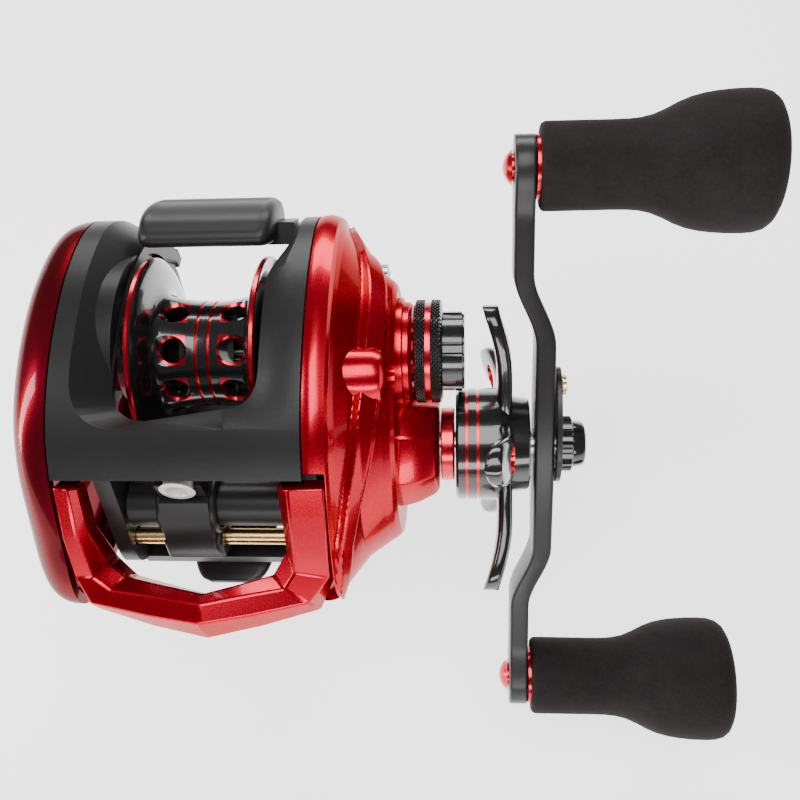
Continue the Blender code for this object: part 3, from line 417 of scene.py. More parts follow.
def frame_piece():
    outline = inset(smooth_loop(FRAME_LINE, 6), lambda point: hood_depth(point) + 1.0)
    low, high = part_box("frame")
    inner = high.x / MM - WALL
    holes = [circle(1.8, rod_axis, 24), circle(2.5, worm_axis, 24)]
    left_holes = holes + [circle(18.7, spool_axis, 96)]
    right_holes = holes + [circle(5.3, spool_axis, 48), circle(4.8, crank_axis, 48)]
    wall = make_piece("frame_casting", prism_shape(outline, low.x / MM, WALL, left_holes),
                      satin_black, "body", ["frame"], soften=0.25)
    floor_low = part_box("reel_foot")[1].z / MM + 0.3
    work(wall, [guide(prism_shape(outline, inner, WALL, right_holes)),
                guide(block_shape((-inner - 1, -24, floor_low), (inner + 1, 11, floor_low + 2.9))),
                guide(block_shape((-inner - 1, -33.4, 4.6), (inner + 1, -30.0, 7.4)))], "UNION")
    slot = [(7.0, 22.0), (18.0, 22.0), (23.5, 33.0), (16.0, 36.0)]
    work(wall, [guide(prism_shape(slot, inner - 1, WALL + 2))])


frame_piece()


# ---------------------------------------------------------------- hood
# The satin black bow over the frame: deep cheeks beside the spool window with a wide sloped
# bevel down to the spool, and a thin band over the levelwind. Moulded and painted.
PALM_LINE = TOP_LINE + [(-38.0, 25.0), (-44.0, 15.0), (-42.0, 8.0), (-34.0, 3.0), (-20.0, -2.0),
                        (-5.0, -2.5), (12.0, -1.0), (23.0, 7.0)]


def fade(value):
    value = min(max(value, 0.0), 1.0)
    return value * value * (3 - 2 * value)


def rounded_corner(corner, first, second, radius, steps=8):
    """Points that round a corner of a path that comes from first and leaves towards second."""
    corner = Vector(corner)
    start = corner + (Vector(first) - corner).normalized() * radius
    end = corner + (Vector(second) - corner).normalized() * radius
    points = []
    for step in range(steps + 1):
        t = step / steps
        points.append(start * (1 - t) ** 2 + corner * 2 * t * (1 - t) + end * t * t)
    return points


TOP_CURVE = smooth_loop(PALM_LINE, 24)[:6 * 24 + 1]


def outline_height(y):
    """Height of the body's top line at a y."""
    points = TOP_CURVE
    for (far, high), (near, low) in zip(points, points[1:]):
        if near <= y <= far:
            return low + (high - low) * (y - near) / (far - near)
    return points[0][1] if y > 0 else points[-1][1]


def window_ring(shape, sides, front, radius, height):
    """A loop round the window: left, right, and right beside the thumb bar."""
    left, right, right_rear = sides
    path = [(left, 60.0)] + [(left, 27.0 - 1.5 * step) for step in range(26)]
    path += rounded_corner((left, front), (left, 60.0), (right, front), radius)
    path += rounded_corner((right, front), (left, front), (right, 60.0), radius)
    path += [(right + (right_rear - right) * fade((y - 2.0) / 11.0), y)
             for y in [-10.0 + 1.5 * step for step in range(25)]]
    path += [(right_rear, 60.0)]
    return [shape.verts.new((point[0], point[1], height(point[0], point[1]))) for point in path]


def hood_piece():
    line = smooth_loop(PALM_LINE, OUTLINE_STEPS)
    last = 6 * OUTLINE_STEPS
    deep = inset(line, hood_depth)
    section = line[:last + 1] + list(reversed(deep[:last + 1]))
    low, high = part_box("hood")
    hood = make_piece("hood_cover", prism_shape(section, low.x / MM, (high.x - low.x) / MM),
                      satin_black, "body", ["hood"], sharp=28.0, soften=0.35)
    cutter = bmesh.new()
    rings = [window_ring(cutter, (-14.2, 11.5, 14.6), -20.4, 6.0, lambda x, y: 5.0),
             window_ring(cutter, (-14.2, 11.5, 14.6), -20.4, 6.0,
                         lambda x, y: outline_height(y) - (5.4 if x < 5.0 else 1.5)),
             window_ring(cutter, (-19.8, 15.2, 16.4), -24.2, 8.5,
                         lambda x, y: outline_height(y) + 0.3),
             window_ring(cutter, (-19.8, 15.2, 16.4), -24.2, 8.5, lambda x, y: 70.0)]
    join_rings(cutter, rings)
    cutter.faces.new(rings[0])
    cutter.faces.new(list(reversed(rings[-1])))
    clear = turned_shape([(-14.2, 0), (-14.2, 18.5), (14.4, 18.5), (14.4, 0)], 120)
    work(hood, [guide(cutter), guide(clear, (0, *spool_axis), 0.02)])


hood_piece()


# ---------------------------------------------------------------- nose guard
# The bright red bridge in front of the line guide: two arms down the front of the body and a
# pointed bar with a ridge between them. Moulded and lacquered in one bright red.
candy_red = finish("candy_red_lacquer", (0.46, 0.002, 0.018), 0.27, 0.88, coat=0.25,
                   coat_roughness=0.05, tint=0.10, grain=2600.0, spread=0.05, bump=0.000003,
                   edge=(0.60, 0.02, 0.05))
NOSE_SECTIONS = [
    [(-19.2, -30.6, 32.6), (-20.5, -31.6, 34.0), (-22.9, -31.4, 34.2), (-22.9, -28.4, 31.5),
     (-19.2, -28.2, 30.5)],
    [(-18.9, -36.0, 25.0), (-20.3, -37.5, 26.2), (-22.9, -37.4, 26.4), (-22.9, -33.5, 23.5),
     (-18.9, -33.4, 22.5)],
    [(-17.9, -38.4, 17.5), (-19.5, -41.6, 19.0), (-22.8, -41.5, 19.2), (-22.9, -38.5, 13.0),
     (-17.8, -35.6, 13.5)],
    [(-14.5, -40.6, 16.8), (-16.3, -43.6, 18.0), (-20.4, -45.2, 15.8), (-21.4, -44.2, 9.8),
     (-14.8, -38.0, 10.0)],
    [(-7.3, -42.3, 17.5), (-7.6, -44.7, 18.3), (-9.6, -47.5, 16.8), (-10.0, -47.6, 10.6),
     (-7.4, -39.8, 9.5)],
    [(0.0, -43.9, 18.0), (0.0, -46.0, 18.6), (0.0, -49.0, 17.2), (0.0, -49.7, 10.8),
     (0.0, -41.5, 9.0)],
    [(6.0, -42.0, 17.5), (6.8, -44.4, 18.3), (8.8, -47.3, 16.8), (9.6, -47.3, 10.6),
     (6.2, -39.6, 9.5)],
    [(11.7, -40.0, 16.8), (14.2, -42.9, 18.0), (18.2, -44.8, 16.0), (19.6, -43.9, 9.8),
     (12.9, -37.6, 10.0)],
    [(14.0, -36.4, 18.6), (16.0, -40.6, 19.6), (22.0, -41.0, 18.8), (22.2, -38.0, 12.5),
     (14.6, -33.8, 13.5)],
    [(14.3, -34.2, 24.8), (16.2, -36.8, 26.6), (22.3, -37.0, 26.6), (22.4, -33.5, 23.5),
     (14.3, -32.0, 22.5)],
    [(14.3, -30.6, 32.6), (16.4, -31.6, 34.2), (22.4, -31.5, 34.2), (22.4, -28.4, 31.5),
     (14.3, -28.2, 30.5)]]


def nose_piece():
    shape = bmesh.new()
    rings = [[shape.verts.new(point) for point in section] for section in NOSE_SECTIONS]
    join_rings(shape, rings)
    shape.faces.new(rings[0])
    shape.faces.new(list(reversed(rings[-1])))
    make_piece("nose_bridge", shape, candy_red, "body", ["nose_guard"],
               sharp=12.0, soften=0.35)


nose_piece()


# ---------------------------------------------------------------- gear side plate
# The bright red cover over the gears: a rim band, a cone up to the flat face, a raised rib that
# runs through the screw boss to the front, a ring for the cap and a faceted crank boss.
GEAR_LINE = TOP_LINE + [(-38.0, 25.0), (-42.5, 14.0), (-39.0, 3.0), (-30.0, -4.0), (-14.0, -8.4),
                        (0.0, -7.4), (14.0, -2.0), (24.0, 8.0)]
GEAR_TOP_LINE = [(12.0, 22.0), (11.5, 29.0), (8.0, 35.0), (1.0, 37.5), (-7.0, 37.0),
                 (-15.0, 34.0), (-20.5, 30.0), (-25.5, 23.0), (-28.0, 14.0), (-26.5, 3.0),
                 (-21.0, -4.0), (-13.0, -7.6), (-4.0, -6.2), (4.0, 1.0), (9.5, 12.0)]
GEAR_SEAM = 19.1
GEAR_DEEP = 14.0
SHELL = 1.8
GEAR_SLOPE = [(0.0, 0.0), (0.20, 0.0), (0.26, 0.03), (0.29, 0.14), (0.34, 0.24), (0.58, 0.62),
              (0.86, 0.86), (0.95, 0.93), (1.0, 1.0)]
RIB = [(22.6, 26.0, 27.0), (24.6, 22.0, 33.0), (27.6, 14.0, 38.0), (29.4, 5.0, 40.0),
       (29.6, -4.0, 39.0), (29.0, -12.0, 37.0), (28.2, -19.0, 33.0), (26.4, -26.0, 27.0),
       (24.4, -32.0, 20.0), (23.0, -38.0, 12.0)]
RIB_HALF = 2.0
RIB_TALL = 1.5
SCREW_BOSS = 5.2


def slope_at(table, share):
    for (low, start), (high, end) in zip(table, table[1:]):
        if share <= high:
            return start + (end - start) * (share - low) / (high - low)
    return table[-1][1]


def path_distance(point, path):
    """How far a point lies from a path."""
    best = 1e9
    for start, end in zip(path, path[1:]):
        along = end - start
        t = min(max((point - start).dot(along) / along.length_squared, 0.0), 1.0)
        best = min(best, (point - start - along * t).length)
    return best


def on_cover(x, y, z):
    """The spot on the plain cover beside a point: same x, pushed along its own ray."""
    seam, top = smooth_loop(GEAR_LINE, 6), smooth_loop(GEAR_TOP_LINE, 6)
    way = slope_at(GEAR_SLOPE, (x - GEAR_SEAM) / GEAR_DEEP)
    spots = [Vector((x, a[0] + (b[0] - a[0]) * way, a[1] + (b[1] - a[1]) * way))
             for a, b in zip(seam, top)]
    return min(spots, key=lambda spot: (spot - Vector((x, y, z))).length)


def gear_cover_shape():
    count = 20
    seam, top = smooth_loop(GEAR_LINE, count), smooth_loop(GEAR_TOP_LINE, count)
    path = [on_cover(*spot) for spot in RIB]
    shares = [0.0, 0.02]
    shares += [0.2 * k / 8 for k in range(1, 8)]
    shares += [0.2 + 0.8 * k / 80 for k in range(81)]
    shape = bmesh.new()
    rings = []
    for share in shares:
        way = slope_at(GEAR_SLOPE, share)
        x = GEAR_SEAM + GEAR_DEEP * share
        crown = 0.35 * math.sin(min(share / 0.2, 1.0) * math.pi)
        ring = []
        for a, b in zip(seam, top):
            y, z = a[0] + (b[0] - a[0]) * way, a[1] + (b[1] - a[1]) * way
            out = Vector((y + 8.0, z - 16.0)).normalized()
            tall = 0.0
            if share > 0.26 and z > 2.0:
                tall = RIB_TALL * fade((RIB_HALF - path_distance(Vector((x, y, z)), path)) / 1.1 + 0.5)
            push = (tall + crown) * 0.8
            ring.append(shape.verts.new((x + tall * 0.45, y + out.x * push, z + out.y * push)))
        rings.append(ring)
    middle = Vector((sum(y for y, z in top), sum(z for y, z in top))) / len(top)
    for way in (0.15, 0.4, 0.7):
        rings.append([shape.verts.new((GEAR_SEAM + GEAR_DEEP, b[0] + (middle.x - b[0]) * way,
                                       b[1] + (middle.y - b[1]) * way)) for b in top])
    rings.append([shape.verts.new((GEAR_SEAM + GEAR_DEEP, middle.x, middle.y))])
    join_rings(shape, rings)
    inner_seam, inner_top = inset(seam, SHELL), inset(top, SHELL)
    inner = []
    for share in (0.0, 0.17, 0.3, 0.45, 0.6, 0.75, 0.88, 0.96, 1.0):
        way = slope_at(GEAR_SLOPE, share)
        inner.append([shape.verts.new((GEAR_SEAM + (GEAR_DEEP - SHELL) * share,
                                       a[0] + (b[0] - a[0]) * way, a[1] + (b[1] - a[1]) * way))
                      for a, b in zip(inner_seam, inner_top)])
    inner.append([shape.verts.new((GEAR_SEAM + GEAR_DEEP - SHELL, middle.x, middle.y))])
    join_rings(shape, inner)
    join_rings(shape, [rings[0], inner[0]])
    return shape


def gear_plate_piece():
    plate = make_piece("gear_cover", gear_cover_shape(), candy_red, "body",
                       ["gear_side_plate"], sharp=40.0, soften=0.0)
    face = GEAR_SEAM + GEAR_DEEP
    cap_low, cap_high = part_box("tension_cap")
    cap_x = cap_low.x / MM
    cap_r = (cap_high.z - cap_low.z) / 2 / MM
    collar_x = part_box("shaft_collar")[0].x / MM
    crank_boss = turned_shape([(face - 3.1, 0), (face - 3.1, 12.0), (face + 0.6, 12.0),
                               (face + 3.4, 11.2), (collar_x - 1.0, 9.6), (collar_x - 0.3, 8.6),
                               (collar_x - 0.3, 0)], 8)
    cap_room = turned_shape([(cap_x - 0.5, 0), (cap_x - 0.5, cap_r + 0.9), (cap_x + 11.5, cap_r + 0.9),
                             (cap_x + 11.5, 0)], 96)
    cap_base = turned_shape([(face - 1.3, 0), (face - 1.3, cap_r + 0.4), (face + 0.9, cap_r + 0.4),
                             (face + 1.1, cap_r - 0.4), (cap_x - 0.9, cap_r - 0.4),
                             (cap_x - 0.3, 8.6), (cap_x - 0.3, 5.6), (cap_x + 4.0, 5.6),
                             (cap_x + 4.0, 0)], 96)
    boss = guide(crank_boss, (0, *crank_axis), math.radians(22.5))
    bevel = boss.modifiers.new("facet_edges", "BEVEL")
    bevel.width = 0.5 * MM
    bevel.segments = 2
    bevel.limit_method = "ANGLE"
    bevel.angle_limit = math.radians(15.0)
    work(plate, [boss], "UNION")
    work(plate, [guide(cap_room, (0, *spool_axis), 0.013)])
    work(plate, [guide(cap_base, (0, *spool_axis), 0.021)], "UNION")
    low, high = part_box("plate_screw_2")
    spot = ((low.y + high.y) / 2 / MM, (low.z + high.z) / 2 / MM)
    end = 32.2
    pod = turned_shape([(21.0, 0), (21.0, SCREW_BOSS), (end - 2.2, SCREW_BOSS),
                        (end - 1.0, SCREW_BOSS - 0.5), (end - 0.3, SCREW_BOSS - 1.5),
                        (end, SCREW_BOSS - 2.6), (end, 0)], 48)
    work(plate, [guide(pod, (0, *spot), 0.05)], "UNION")
    cuts = [guide(turned_shape([(face - 6.0, 0), (face - 6.0, 4.2), (face - 0.6, 4.2),
                                (face - 0.6, 2.4), (cap_x + 5.0, 2.4), (cap_x + 5.0, 0)], 48),
                  (0, *spool_axis), 0.03),
            guide(turned_shape([(face - 6.0, 0), (face - 6.0, 6.8), (37.3, 6.8), (37.3, 4.5),
                                (collar_x + 1.0, 4.5), (collar_x + 1.0, 0)], 64),
                  (0, *crank_axis), 0.03)]
    for index in (1, 2, 3):
        low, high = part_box("plate_screw_%d" % index)
        spot = ((low.y + high.y) / 2 / MM, (low.z + high.z) / 2 / MM)
        head = high.x / MM
        cuts.append(guide(turned_shape([(head - 7.0, 0), (head - 7.0, 1.4), (head - 1.6, 1.4),
                                        (head - 1.6, 2.3), (head + 6.0, 2.3), (head + 6.0, 0)], 32),
                          (0, *spot), 0.02))
    front = [(-31.2, 40.0), (-27.8, 31.0), (-33.0, 22.5), (-35.0, 13.5), (-37.5, 9.5), (-60.0, 9.5),
             (-60.0, 40.0)]
    cuts.append(guide(prism_shape(front, 18.0, 4.6)))
    work(plate, cuts)


gear_plate_piece()


# ---------------------------------------------------------------- palm side plate
# The deep red cover that the palm holds: one smooth dome with the brake dial in its middle and a
# hub for the left spool bearing inside. Moulded and lacquered.
dark_candy_red = finish("dark_candy_red_lacquer", (0.15, 0.002, 0.010), 0.28, 0.85, coat=0.35,
                        coat_roughness=0.05, tint=0.10, grain=2600.0, spread=0.05,
                        bump=0.000003, edge=(0.40, 0.02, 0.03))
PALM_SEAM = -23.4
PALM_DEEP = 8.8
PLATE_CENTRE = (-5.0, 20.0)
PALM_SHARE = 0.58
DIAL_R = 8.5


def dome_rings(shape, line, seam, deep, steps):
    top = [(PLATE_CENTRE[0] + (y - PLATE_CENTRE[0]) * PALM_SHARE,
            PLATE_CENTRE[1] + (z - PLATE_CENTRE[1]) * PALM_SHARE) for y, z in line]
    rings = []
    for step in range(steps + 1):
        t = step / steps * math.pi / 2
        share, way = math.sin(t) ** 0.9, (1 - math.cos(t)) ** 1.15
        rings.append([shape.verts.new((seam - deep * share, a[0] + (b[0] - a[0]) * way,
                                       a[1] + (b[1] - a[1]) * way)) for a, b in zip(line, top)])
    for way in (0.3, 0.65):
        rings.append([shape.verts.new((seam - deep, b[0] + (PLATE_CENTRE[0] - b[0]) * way,
                                       b[1] + (PLATE_CENTRE[1] - b[1]) * way)) for b in top])
    rings.append([shape.verts.new((seam - deep, *PLATE_CENTRE))])
    join_rings(shape, rings)
    return rings


def palm_plate_piece():
    shape = bmesh.new()
    line = smooth_loop(PALM_LINE, 12)
    outer = dome_rings(shape, line, PALM_SEAM, PALM_DEEP, 28)
    inner = dome_rings(shape, inset(line, SHELL), PALM_SEAM, PALM_DEEP - SHELL, 14)
    join_rings(shape, [outer[0], inner[0]])
    plate = make_piece("palm_cover", shape, dark_candy_red, "body",
                       ["palm_side_plate"], sharp=40.0)
    top = PALM_SEAM - PALM_DEEP
    seat = top + 3.0
    hub = turned_shape([(seat - 1.0, 0), (seat - 1.0, DIAL_R + 2.0), (seat + 2.0, DIAL_R + 2.0),
                        (seat + 2.0, 7.0), (-18.0, 7.0), (-18.0, 5.3), (seat + 2.6, 5.3),
                        (seat + 2.6, 0)], 64)
    work(plate, [guide(hub, (0, *spool_axis), 0.02)], "UNION")
    recess = turned_shape([(top - 2.0, 0), (top - 2.0, DIAL_R + 1.6), (top + 0.02, DIAL_R + 1.6),
                           (top + 1.2, DIAL_R + 0.3), (seat, DIAL_R + 0.3), (seat, 2.3),
                           (seat + 4.0, 2.3), (seat + 4.0, 0)], 72)
    work(plate, [guide(recess, (0, *spool_axis), 0.03)])


palm_plate_piece()


# ---------------------------------------------------------------- thumb bar and clutch slider
# The black bar behind the spool that the thumb presses to free the line, rounded all round with
# a shallow pad on top, on a lug that runs through it; a small steel slider rides with it.
soft_black = finish("thumb_bar_coating", (0.012, 0.0112, 0.0118), 0.42, 0.0, shine=0.30, coat=0.05,
                    coat_roughness=0.4, tint=0.2, grain=1800.0, bump=0.00001)
BAR_SECTION = [(12.8, 44.2), (16.5, 45.0), (20.8, 43.6), (24.6, 41.0), (26.9, 38.4), (27.1, 35.2),
               (25.4, 33.4), (23.4, 33.8), (20.0, 36.6), (16.4, 39.0), (13.4, 40.9), (12.2, 42.6)]


def thumb_bar_piece():
    loop = smooth_loop(BAR_SECTION, 5)
    middle = (19.6, 39.8)
    low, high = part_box("thumb_bar")
    start, end = (low.x / MM + 0.2), (high.x / MM - 0.2)
    bar_start, bar_end = start, end - 2.8
    shape = bmesh.new()
    rings = []
    rounding = 2.6
    for step in range(61):
        x = bar_start + (bar_end - bar_start) * step / 60
        away = min(x - bar_start, bar_end - x)
        t = min(away / rounding, 1.0)
        size = 0.62 + 0.38 * math.sqrt(max(1 - (1 - t) ** 2, 0.0))
        dish = 0.35 * fade((away - 1.2) / 1.5)
        ring = []
        for y, z in loop:
            top = fade((z - 40.5) / 1.2) * fade((y - 13.6) / 1.0) * fade((26.5 - y) / 1.5)
            ring.append(shape.verts.new((x, middle[0] + (y - middle[0]) * size,
                                         middle[1] + (z - middle[1]) * size - dish * top)))
        rings.append(ring)
    join_rings(shape, rings)
    shape.faces.new(rings[0])
    shape.faces.new(list(reversed(rings[-1])))
    bar = make_piece("thumb_rest", shape, soft_black, "thumb_clutch",
                     ["thumb_bar"], sharp=40.0)
    lug = prism_shape([(15.5, 38.5), (18.5, 41.2), (22.5, 37.6), (19.6, 34.9)], low.x / MM,
                      (high.x - low.x) / MM)
    work(bar, [guide(lug)], "UNION")


thumb_bar_piece()


# ---------------------------------------------------------------- turned metal finishes
# Bare metal and anodised finishes for turned parts: fine rings left by the tool round the X axis.
def ring_group():
    """Tool rings round the axis of a turned part, as a height and a roughness."""
    group, start, end = effect_group(
        "tool_rings",
        [("Ring Scale", "NodeSocketFloat", 2600.0), ("Roughness", "NodeSocketFloat", 0.25),
         ("Spread", "NodeSocketFloat", 0.12)],
        [("Height", "NodeSocketFloat"), ("Roughness", "NodeSocketFloat")])
    nodes, links = group.nodes, group.links
    place = nodes.new("ShaderNodeTexCoord")
    split = nodes.new("ShaderNodeSeparateXYZ")
    links.new(place.outputs["Object"], split.inputs[0])
    length = nodes.new("ShaderNodeVectorMath")
    length.operation = "LENGTH"
    flat = nodes.new("ShaderNodeCombineXYZ")
    links.new(split.outputs["Y"], flat.inputs["Y"])
    links.new(split.outputs["Z"], flat.inputs["Z"])
    links.new(flat.outputs[0], length.inputs[0])
    rings = nodes.new("ShaderNodeCombineXYZ")
    links.new(split.outputs["X"], rings.inputs["X"])
    links.new(length.outputs["Value"], rings.inputs["Y"])
    noise = nodes.new("ShaderNodeTexNoise")
    noise.inputs["Detail"].default_value = 2.0
    links.new(rings.outputs[0], noise.inputs["Vector"])
    links.new(start.outputs["Ring Scale"], noise.inputs["Scale"])
    links.new(noise.outputs["Fac"], end.inputs["Height"])
    centred = nodes.new("ShaderNodeMath")
    centred.operation = "SUBTRACT"
    centred.inputs[1].default_value = 0.5
    links.new(noise.outputs["Fac"], centred.inputs[0])
    rough = nodes.new("ShaderNodeMath")
    rough.operation = "MULTIPLY_ADD"
    links.new(centred.outputs[0], rough.inputs[0])
    links.new(start.outputs["Spread"], rough.inputs[1])
    links.new(start.outputs["Roughness"], rough.inputs[2])
    links.new(rough.outputs[0], end.inputs["Roughness"])
    return group


RINGS = ring_group()


def turned_metal(name, colour, roughness, metallic=1.0, coat=0.0, scale=2600.0, bump=0.000004):
    material = bpy.data.materials.new(name)
    material.use_nodes = True
    tree = material.node_tree
    shader = tree.nodes["Principled BSDF"]
    shader.inputs["Metallic"].default_value = metallic
    shader.inputs["Coat Weight"].default_value = coat
    shader.inputs["Coat Roughness"].default_value = 0.06
    rings = tree.nodes.new("ShaderNodeGroup")
    rings.node_tree = RINGS
    rings.inputs["Ring Scale"].default_value = scale
    rings.inputs["Roughness"].default_value = roughness
    shade = tree.nodes.new("ShaderNodeValToRGB")
    for stop, share in zip(shade.color_ramp.elements, (0.82, 1.12)):
        stop.color = (*[min(part * share, 1.0) for part in colour], 1)
    bumps = tree.nodes.new("ShaderNodeBump")
    bumps.inputs["Distance"].default_value = bump
    tree.links.new(rings.outputs["Height"], shade.inputs["Fac"])
    tree.links.new(rings.outputs["Height"], bumps.inputs["Height"])
    tree.links.new(shade.outputs["Color"], shader.inputs["Base Color"])
    tree.links.new(rings.outputs["Roughness"], shader.inputs["Roughness"])
    tree.links.new(bumps.outputs["Normal"], shader.inputs["Normal"])
    return material


steel = turned_metal("turned_steel", (0.60, 0.60, 0.61), 0.26)
aluminium = turned_metal("turned_aluminium", (0.74, 0.74, 0.76), 0.32)
brass = turned_metal("turned_brass", (0.78, 0.53, 0.24), 0.24)
gloss_black = turned_metal("gloss_black_anodised", (0.012, 0.012, 0.013), 0.20, 0.35, coat=0.8)
red_anodised = turned_metal("red_anodised", (0.62, 0.012, 0.03), 0.24, 0.95, coat=0.3)
black_plastic = finish("moulded_black_plastic", (0.022, 0.022, 0.024), 0.5, 0.0, grain=2200.0)


def paint(piece, material, chosen):
    """Give one more material to the faces whose centre, in millimetres, is chosen."""
    piece.data.materials.append(material)
    index = len(piece.data.materials) - 1
    for face in piece.data.polygons:
        if chosen(*(face.center / MM)):
            face.material_index = index
    return piece


# ---------------------------------------------------------------- spool
# Black anodised aluminium, turned from one piece and drilled for lightness; the two centre
# grooves, the flange edges and the chamfers of the holes are cut back to red.
HOLE_R = 2.2
HOLES = 8
HOLE_START = math.radians(30.0)


def tilted(shape, x, radius, angle):
    """Turn a shape drawn about X so that it points out from the spool axis at an angle."""
    shape.transform(Matrix.Translation((x, *spool_axis)) @ Matrix.Rotation(angle, 4, "X")
                    @ Matrix.Translation((0, 0, radius)) @ Matrix.Rotation(-math.pi / 2, 4, "Y"))
    return shape


def spool_piece():
    low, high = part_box("spool")
    middle, half = (low.x + high.x) / 2 / MM, (high.x - low.x) / 2 / MM
    flange = (high.z - low.z) / 2 / MM
    side = [(half, 1.3), (half, 13.0), (half - 0.25, 13.4), (half - 0.9, flange - 2.4),
            (half - 0.75, flange - 1.6), (half - 0.3, flange - 0.7), (half - 0.2, flange - 0.25),
            (half - 0.4, flange), (half - 1.0, flange), (half - 1.25, flange - 0.2),
            (half - 1.7, flange - 0.9), (half - 2.1, flange - 2.4), (half - 2.4, 13.6),
            (half - 2.65, 12.4), (half - 3.0, 11.5), (half - 3.7, 10.9), (half - 4.4, 10.75),
            (5.0, 10.25), (3.0, 9.95), (1.6, 9.86), (1.4, 9.84), (1.32, 9.5), (0.92, 9.5),
            (0.84, 9.84), (0.4, 9.83)]
    section = [(middle - x, radius) for x, radius in side]
    section += [(middle + x, radius) for x, radius in reversed(side)]
    spool = make_piece("spool_drum", turned_shape(section, 160), gloss_black, "spool_group",
                       ["spool"], (0, *spool_axis), sharp=30.0)
    hollow = [guide(turned_shape([(x, 3.0), (x, 8.0), (x + 7.5, 8.0), (x + 7.5, 3.0)], 64),
                    (0, *spool_axis), 0.02) for x in (low.x / MM - 1.0, high.x / MM - 6.5)]
    work(spool, hollow)
    drills = []
    for x in (middle - 5.35, middle + 5.35):
        for index in range(HOLES):
            angle = HOLE_START + 2 * math.pi * index / HOLES
            drill = turned_shape([(-2.6, 0), (-2.6, HOLE_R), (0.2, HOLE_R), (0.6, HOLE_R + 0.4),
                                  (1.6, HOLE_R + 1.4), (1.6, 0)], 32)
            drills.append(guide(tilted(drill, x, 9.3, angle)))
    work(spool, drills)

    def red(x, y, z):
        radius = math.hypot(y - spool_axis[0], z - spool_axis[1])
        if radius > flange - 0.35:
            return True
        away = abs(x - middle)
        if 0.85 < away < 1.4 and radius < 9.78:
            return radius > 9.0
        around = math.atan2(-(y - spool_axis[0]), z - spool_axis[1]) - HOLE_START
        turn = (around + math.pi / HOLES) % (2 * math.pi / HOLES) - math.pi / HOLES
        off = math.hypot(away - 5.35, turn * 9.9)
        return 9.0 < radius < 10.3 and HOLE_R + 0.01 < off < HOLE_R + 0.6
    paint(spool, red_anodised, red)


spool_piece()


# ---------------------------------------------------------------- brake dial
# A black dial set in the palm cover; a raised grip bar crosses it and its rim is finely toothed.
def toothed_rings(shape, x_low, x_high, radius, depth, teeth, rows, lean=0.0):
    """Rings of a wall cut with teeth; a lean makes them cross like a file."""
    rings = []
    steps = teeth * 4
    for row in range(rows + 1):
        x = x_low + (x_high - x_low) * row / rows
        ring = []
        for step in range(steps):
            angle = 2 * math.pi * step / steps
            first = abs(((step / 4 + row * lean) % 1.0) - 0.5) * 2
            second = abs(((step / 4 - row * lean) % 1.0) - 0.5) * 2
            cut = depth * (1 - first if lean == 0 else max(1 - 2.2 * first, 1 - 2.2 * second, 0.0))
            ring.append(shape.verts.new((x, (radius - cut) * math.cos(angle),
                                         (radius - cut) * math.sin(angle))))
        rings.append(ring)
    return rings


def dial_piece():
    low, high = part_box("brake_dial")
    top, bottom = low.x / MM, high.x / MM
    shape = bmesh.new()
    steps = 72 * 4
    rim = toothed_rings(shape, top + 0.7, top + 2.5, DIAL_R, 0.22, 72, 1)
    rings = [[shape.verts.new((top, 0, 0))]]
    for x, radius in ((top, DIAL_R - 1.6), (top + 0.15, DIAL_R - 1.0)):
        rings.append([shape.verts.new((x, radius * math.cos(2 * math.pi * k / steps),
                                       radius * math.sin(2 * math.pi * k / steps)))
                      for k in range(steps)])
    rings += rim
    for x, radius in ((top + 2.5, 2.0), (bottom, 2.0)):
        rings.append([shape.verts.new((x, radius * math.cos(2 * math.pi * k / steps),
                                       radius * math.sin(2 * math.pi * k / steps)))
                      for k in range(steps)])
    rings.append([shape.verts.new((bottom, 0, 0))])
    join_rings(shape, rings)
    dial = make_piece("brake_knob", shape, gloss_black, "dial", ["brake_dial"],
                      (0, *spool_axis))
    sides = []
    for z in (1.3, -6.6):
        pocket = block_shape((top - 1.0, -7.5, z), (top + 1.0, 7.5, z + 5.3))
        bmesh.ops.bevel(pocket, geom=pocket.edges, offset=0.6, segments=3, affect="EDGES")
        sides.append(guide(pocket, (0, *spool_axis)))
    work(dial, sides)


dial_piece()


